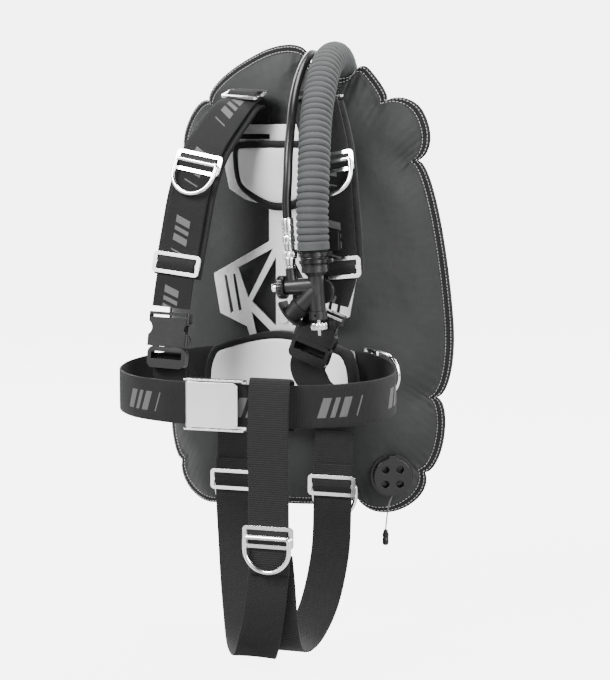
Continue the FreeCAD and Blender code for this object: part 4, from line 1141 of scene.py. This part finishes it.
def make_rings(sizes):
    """Shoulder, waist, crotch and back D-rings, each on its own body, and the tri-glides that hold them."""
    for side, route in SHOULDER_ROUTE.items():
        at, tangent, wide, out = station(route, X_AXIS, RING_RUN)
        make_d_ring(f"{side}_shoulder_ring_wire", f"{side}_shoulder_d_ring", f"{side}_shoulder_ring",
                    at + out * RING_LIFT, turned_axes(wide, -tangent))
    belt = BELT_SIDE + [BELT_END["left"]]
    at, tangent, wide, out = station(belt, -Z_AXIS, 43.0)
    swung = math.radians(12)
    forward = tangent * math.cos(swung) + out * math.sin(swung)
    make_d_ring("waist_ring_wire", "waist_d_ring", "waist_ring",
                at + out * (WEB_T / 2 + GAP * 2 + GLIDE_T + RING_WIRE), turned_axes(wide, -forward))
    lift = WEB_T / 2 + GAP + GLIDE_T / 2
    at, tangent, wide, out = station(CROTCH_FRONT, X_AXIS, 178.0)
    make_d_ring("crotch_ring_wire", "crotch_d_ring", "crotch_ring",
                at + out * (lift + GLIDE_T / 2 + GAP + RING_WIRE), turned_axes(wide, -tangent))
    for side, route in CROTCH_REAR.items():
        at, tangent, wide, out = station(route, X_AXIS, 26.0)
        behind = -(WEB_T / 2 + GAP + RING_WIRE) - 4.2
        make_d_ring(f"{side}_butt_ring_wire", f"{side}_butt_d_ring", f"{side}_butt_ring", at + out * behind,
                    turned_axes(wide, -tangent))
    softened("tri_glide_plates", ["tri_glides"], "polished_steel", "harness", 1.0, 3)


def make_buckles(sizes):
    """The belt's lever buckle in steel and the two side-release buckles in black moulding."""
    softened("waist_buckle_tray", ["waist_buckle_frame"], "brushed_steel", "harness", 0.6)
    softened("waist_buckle_hinge_pin", ["waist_buckle_pin"], "brushed_steel", "harness", 0.3)
    softened("waist_buckle_lever_plate", ["waist_buckle_lever"], "polished_steel", "buckle_lever",
             0.5, 3)
    for side in ("right", "left"):
        softened(f"{side}_buckle_socket", [f"{side}_buckle_female"], "black_moulding", "harness",
                 1.2, 3)
        softened(f"{side}_buckle_plug", [f"{side}_buckle_male"], "black_moulding", f"{side}_plug",
                 0.9, 3)


CUFF = [(15.0, -0.4), (17.0, -0.4), (17.4, -1.2), (17.0, -2.2), (16.5, -2.8), (16.5, -8.4), (16.9, -9.2), (16.5, -10),
        (16.5, -16.4), (16.9, -17), (16.7, -17.8), (15.0, -17.8)]
COUPLING = [(3.9, -16.6), (5.6, -16.6), (6.2, -16.0), (6.2, 6.8), (6.7, 7.1), (7.2, 7.5), (7.2, 8.7), (6.7, 9.1),
            (5.8, 9.3), (5.8, 10.0), (6.6, 10.4), (7.6, 11.2, 0.09), (7.8, 12, 0.12), (7.8, 17, 0.12),
            (7.4, 17.8, 0.07), (6.3, 18.6), (6.3, 20), (6.8, 20.6), (7.0, 21.2), (7.0, 24.4), (6.6, 24.8), (6.6, 25.6),
            (7.0, 26), (7.0, 29.6), (6.6, 30), (6.6, 30.8), (7.0, 31.2), (7.0, 37.8), (6.7, 38.9), (6.0, 39.5),
            (3.9, 39.5)]
COLLAR = [(6.6, -9), (7.9, -9), (8.5, -8.6), (8.5, -7.4), (8.2, -7), (8.8, -6.4, 0.06), (8.8, -0.8, 0.06),
          (8.2, -0.2), (8.6, 0.4), (8.6, 1.2), (8.0, 1.9), (6.6, 2)]
END_CAP = [(5.9, 37.4), (12.8, 37.4), (13.6, 37.8), (13.9, 38.6), (13.5, 39.4), (14.0, 40, 0.035),
           (14.0, 45, 0.035), (13.5, 46.2), (12.4, 46.9), (8.0, 46.9), (7.4, 46.3), (5.9, 46.3)]
PUSH_BUTTON = [(0, 20.6), (1.5, 20.6), (1.8, 21), (1.8, 40), (5.0, 40), (5.2, 40.3), (5.2, 48), (4.9, 48.3),
               (4.9, 49), (5.2, 49.3), (5.2, 53.8), (4.7, 54.7), (3.2, 55), (0, 55)]


DEFLATE_KNOB = [(0, -101), (1.4, -101), (1.8, -100.6), (1.8, -94), (8.9, -94), (9.6, -93.6, 0.08),
                (10.0, -92.8, 0.12), (10.0, -87.2, 0.12), (9.6, -86.4, 0.08),
                (8.9, -86), (2.0, -86), (2.0, -64), (0, -64)]


def make_inflator(sizes):
    """The power inflator: moulded body, end cap, buttons, mouthpiece and the chrome hose coupling."""
    softened("inflator_moulding", ["inflator_body"], "grey_moulding", "inflator", 0.8, 3)
    stub = np.array(inflator_point(-30, 0, 0))
    valve = np.array(inflator_point(0, 0, -42))
    sideways = turned_axes(INFLATOR_AXES[2], -INFLATOR_AXES[0])
    cuff = turned("hose_cuff_rubber", CUFF, INFLATOR_AT, INFLATOR_AXES, closed=True)
    cast(cuff, "lp_rubber", "inflator", ["hose_cuff"])
    coupling = turned("low_pressure_coupling", COUPLING, stub, INFLATOR_AXES, 72, True, lobes=6)
    cast(coupling, "chrome", "inflator", ["lp_coupling"])
    collar = turned("coupling_sliding_collar", COLLAR, stub, INFLATOR_AXES, 168, True, lobes=28)
    cast(collar, "chrome", "coupling_collar", ["lp_collar"])
    cap = turned("inflator_end_cap", END_CAP, valve, sideways, 180, True, lobes=30)
    cast(cap, "black_moulding", "inflator", ["inflate_end_cap"])
    button = turned("inflate_push_button", PUSH_BUTTON, valve, sideways, 40)
    cast(button, "chrome", "inflate_press", ["inflate_button"])
    softened("deflate_guard_ring", ["deflate_collar"], "grey_moulding", "inflator", 0.6, 3)
    knob = turned("deflate_push_button", DEFLATE_KNOB, INFLATOR_AT, INFLATOR_AXES, 168, lobes=12)
    cast(knob, "chrome", "deflate_press", ["deflate_button"])
    softened("mouthpiece_rubber", ["mouthpiece"], "keeper_rubber", "inflator", 0.7, 3)
    softened("exhaust_cover_cap", ["exhaust_cover"], "grey_moulding", "inflator", 1.5, 4)
    softened("inflator_hose_ties", ["hose_ties_lower"], "black_moulding", "inflator", 0.5)
    softened("shoulder_hose_ties", ["hose_ties_upper"], "black_moulding", "harness", 0.5)
    softened("hose_elbow_moulding", ["hose_elbow"], "black_moulding", "harness", 1.0, 3)
    softened("inlet_nipple", ["lp_inlet_nipple"], "chrome", "inflator", 0.3)
    softened("hose_keeper_loop", ["hose_keeper"], "keeper_rubber", "harness", 1.2, 3)


def make_dump_valve(sizes):
    """The bottom dump valve: its body and its cover."""
    softened("dump_valve_flange", ["dump_valve_body"], "black_moulding", "harness", 0.8, 3)
    softened("dump_valve_cap", ["dump_valve_cover"], "black_moulding", "harness", 0.7, 3)


def coil(name, node, at, axes, start, end, radius, wire, turns):
    """A spring: a helix of so many turns from one height to the other, in millimetres, drawn in wire."""
    along = np.linspace(0, 1, 24 * turns + 1)
    turn = math.tau * turns * along
    line = np.stack([radius * np.cos(turn), radius * np.sin(turn), start + (end - start) * along], axis=1)
    spring = skin(name, tube(placed(line, at, axes) * 0.001, wire * 0.001, axes[2], sides=8), ends=True, sharp=60)
    return cast(spring, "spring_steel", "inflator", [node])


def make_inner_parts(sizes):
    """What is hidden inside: the two springs, and finishes for the valve core and poppet."""
    sideways = turned_axes(INFLATOR_AXES[2], -INFLATOR_AXES[0])
    button_at = inflator_point(0, 0, -42)
    spring = coil("inflate_return_spring", "inflate_spring", button_at, sideways, 24.8, 39.2, 3.8, 0.6, 6)
    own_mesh(spring)
    coil("deflate_return_spring", "deflate_spring", INFLATOR_AT, INFLATOR_AXES, -76.2, -58.8, 4.5, 0.7, 7)
    refinish("chrome", "inflate_valve_core")
    refinish("keeper_rubber", "dump_poppet")


# ---------------------------------------------------------------- add-on

def length_setting(name, description, default):
    return bpy.props.FloatProperty(name=name, description=description, default=default, unit="LENGTH", precision=4)


def colour_setting(name, description, default):
    return bpy.props.FloatVectorProperty(name=name, description=description, default=default, subtype="COLOR",
                                         min=0.0, max=1.0, size=3)


class VestSizes(bpy.types.PropertyGroup):
    """Sizes of the soft goods that can be changed"""
    rib_pitch: length_setting("Rib pitch", "Distance between the ribs of the big hose", 0.0078)
    rib_depth: length_setting("Rib depth", "Height of a rib over the groove beside it", 0.0034)
    wing_puff: length_setting("Wing puff", "How far the wing's faces stand proud of the flat bag", 0.002)
    stitch_spacing: length_setting("Stitch spacing", "Distance from one hem stitch to the next", 0.0042)
    stitch_length: length_setting("Stitch length", "Visible length of a hem stitch", 0.003)


class VestColours(bpy.types.PropertyGroup):
    """Colours of the vest's finishes"""
    wing_cloth: colour_setting("Wing cloth", "Coated cloth of the wing", (0.0095, 0.0102, 0.0102))
    webbing: colour_setting("Webbing", "Harness webbing and tapes", (0.0052, 0.0052, 0.0055))
    woven_mark: colour_setting("Woven bars", "Light bars woven into the webbing", (0.13, 0.13, 0.13))
    pad_cloth: colour_setting("Pad cloth", "Knitted face of the pads", (0.0042, 0.0042, 0.0045))
    pad_panel: colour_setting("Pad panel", "White panels on the back pads", (0.93, 0.93, 0.93))
    plate_steel: colour_setting("Steel", "Backplate, rings, glides and buckle", (0.95, 0.95, 0.95))
    hose_rubber: colour_setting("Hose rubber", "Corrugated hose", (0.0045, 0.0045, 0.0048))
    moulding_grey: colour_setting("Grey moulding", "Inflator body", (0.015, 0.015, 0.0155))
    moulding_black: colour_setting("Black moulding", "Buckles, caps, ties and the thin hose", (0.005, 0.005, 0.0052))
    thread: colour_setting("Thread", "Hem stitches", (0.5, 0.5, 0.5))
    cord: colour_setting("Pull cord", "Cord of the dump valve", (0.16, 0.16, 0.16))
    bladder: colour_setting("Bladder film", "Inner bag of the wing", (0.12, 0.14, 0.16))


class VEST_OT_camera(bpy.types.Operator):
    """Sets the camera at the vest's front left"""
    bl_idname = "vest.camera"
    bl_label = "Camera"

    def execute(self, context):
        place_camera()
        return {"FINISHED"}


class VEST_OT_stage(bpy.types.Operator):
    """Makes the pale floor and the soft studio lights"""
    bl_idname = "vest.stage"
    bl_label = "Studio floor and lights"

    def execute(self, context):
        make_stage()
        return {"FINISHED"}


class VEST_OT_corrugated_hose(bpy.types.Operator):
    """Makes the ribbed inflator hose"""
    bl_idname = "vest.corrugated_hose"
    bl_label = "Corrugated hose"

    def execute(self, context):
        make_corrugated_hose(context.scene.vest_sizes)
        return {"FINISHED"}


class VEST_OT_low_pressure_hose(bpy.types.Operator):
    """Makes the thin gas hose and its end fitting"""
    bl_idname = "vest.low_pressure_hose"
    bl_label = "Low-pressure hose"

    def execute(self, context):
        make_low_pressure_hose(context.scene.vest_sizes)
        return {"FINISHED"}


class VEST_OT_dump_cord(bpy.types.Operator):
    """Makes the dump valve's pull cord and toggle"""
    bl_idname = "vest.dump_cord"
    bl_label = "Dump cord"

    def execute(self, context):
        make_dump_cord(context.scene.vest_sizes)
        return {"FINISHED"}


class VEST_OT_wing(bpy.types.Operator):
    """Makes the two faces of the air wing"""
    bl_idname = "vest.wing"
    bl_label = "Wing"

    def execute(self, context):
        make_wing(context.scene.vest_sizes)
        return {"FINISHED"}


class VEST_OT_hem(bpy.types.Operator):
    """Makes the wing's edge tape and its stitches"""
    bl_idname = "vest.hem"
    bl_label = "Wing hem"

    def execute(self, context):
        make_hem(context.scene.vest_sizes)
        return {"FINISHED"}


class VEST_OT_backplate(bpy.types.Operator):
    """Finishes the steel plate and what bolts through it"""
    bl_idname = "vest.backplate"
    bl_label = "Backplate"

    def execute(self, context):
        make_backplate(context.scene.vest_sizes)
        return {"FINISHED"}


class VEST_OT_back_pads(bpy.types.Operator):
    """Makes the upper and lower pads with their white panels"""
    bl_idname = "vest.back_pads"
    bl_label = "Back pads"

    def execute(self, context):
        make_back_pads(context.scene.vest_sizes)
        return {"FINISHED"}


class VEST_OT_shoulder_straps(bpy.types.Operator):
    """Makes the shoulder pads, their tapes and the webbing over them"""
    bl_idname = "vest.shoulder_straps"
    bl_label = "Shoulder straps"

    def execute(self, context):
        make_shoulder_straps(context.scene.vest_sizes)
        return {"FINISHED"}


class VEST_OT_lower_webbing(bpy.types.Operator):
    """Makes the straps below the side-release buckles"""
    bl_idname = "vest.lower_webbing"
    bl_label = "Lower straps"

    def execute(self, context):
        make_lower_webbing(context.scene.vest_sizes)
        return {"FINISHED"}


class VEST_OT_waist_belt(bpy.types.Operator):
    """Makes both halves of the belt"""
    bl_idname = "vest.waist_belt"
    bl_label = "Waist belt"

    def execute(self, context):
        make_waist_belt(context.scene.vest_sizes)
        return {"FINISHED"}


class VEST_OT_crotch_straps(bpy.types.Operator):
    """Makes the front strap, the two rear straps and their anchors"""
    bl_idname = "vest.crotch_straps"
    bl_label = "Crotch straps"

    def execute(self, context):
        make_crotch_straps(context.scene.vest_sizes)
        return {"FINISHED"}


class VEST_OT_rings(bpy.types.Operator):
    """Makes the D-rings and finishes the tri-glides"""
    bl_idname = "vest.rings"
    bl_label = "Rings and tri-glides"

    def execute(self, context):
        make_rings(context.scene.vest_sizes)
        return {"FINISHED"}


class VEST_OT_glide_threading(bpy.types.Operator):
    """Makes the webbing that is threaded over the middle bars of the tri-glides"""
    bl_idname = "vest.glide_threading"
    bl_label = "Threaded webbing"

    def execute(self, context):
        make_glide_threading(context.scene.vest_sizes)
        return {"FINISHED"}


class VEST_OT_buckles(bpy.types.Operator):
    """Finishes the belt buckle and the side-release buckles"""
    bl_idname = "vest.buckles"
    bl_label = "Buckles"

    def execute(self, context):
        make_buckles(context.scene.vest_sizes)
        return {"FINISHED"}


class VEST_OT_inflator(bpy.types.Operator):
    """Finishes the power inflator and its fittings"""
    bl_idname = "vest.inflator"
    bl_label = "Inflator"

    def execute(self, context):
        make_inflator(context.scene.vest_sizes)
        return {"FINISHED"}


class VEST_OT_dump_valve(bpy.types.Operator):
    """Finishes the bottom dump valve"""
    bl_idname = "vest.dump_valve"
    bl_label = "Dump valve"

    def execute(self, context):
        make_dump_valve(context.scene.vest_sizes)
        return {"FINISHED"}


class VEST_OT_inner_parts(bpy.types.Operator):
    """Finishes what is hidden inside"""
    bl_idname = "vest.inner_parts"
    bl_label = "Inner parts"

    def execute(self, context):
        make_inner_parts(context.scene.vest_sizes)
        return {"FINISHED"}


STEPS = (
    VEST_OT_camera,
    VEST_OT_stage,
    VEST_OT_corrugated_hose,
    VEST_OT_low_pressure_hose,
    VEST_OT_dump_cord,
    VEST_OT_wing,
    VEST_OT_hem,
    VEST_OT_backplate,
    VEST_OT_back_pads,
    VEST_OT_shoulder_straps,
    VEST_OT_lower_webbing,
    VEST_OT_waist_belt,
    VEST_OT_crotch_straps,
    VEST_OT_rings,
    VEST_OT_glide_threading,
    VEST_OT_buckles,
    VEST_OT_inflator,
    VEST_OT_dump_valve,
    VEST_OT_inner_parts,
)


class VEST_PT_panel(bpy.types.Panel):
    """The vest's settings and the pieces that can be made, in order"""
    bl_idname = "VEST_PT_panel"
    bl_label = "Buoyancy vest"
    bl_space_type = "VIEW_3D"
    bl_region_type = "UI"
    bl_category = "Vest"

    def draw(self, context):
        layout = self.layout
        for settings in (context.scene.vest_sizes, context.scene.vest_colours):
            for key in settings.__annotations__:
                layout.prop(settings, key)
        for step in STEPS:
            layout.operator(step.bl_idname)


CLASSES = (VestSizes, VestColours) + STEPS + (VEST_PT_panel,)


def register():
    for cls in CLASSES:
        bpy.utils.register_class(cls)
    bpy.types.Scene.vest_sizes = bpy.props.PointerProperty(type=VestSizes)
    bpy.types.Scene.vest_colours = bpy.props.PointerProperty(type=VestColours)


def unregister():
    del bpy.types.Scene.vest_colours
    del bpy.types.Scene.vest_sizes
    for cls in reversed(CLASSES):
        bpy.utils.unregister_class(cls)


def main():
    """Registers the add-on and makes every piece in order."""
    register()
    for step in STEPS:
        area, name = step.bl_idname.split(".")
        getattr(getattr(bpy.ops, area), name)()


if __name__ == "__main__":
    main()
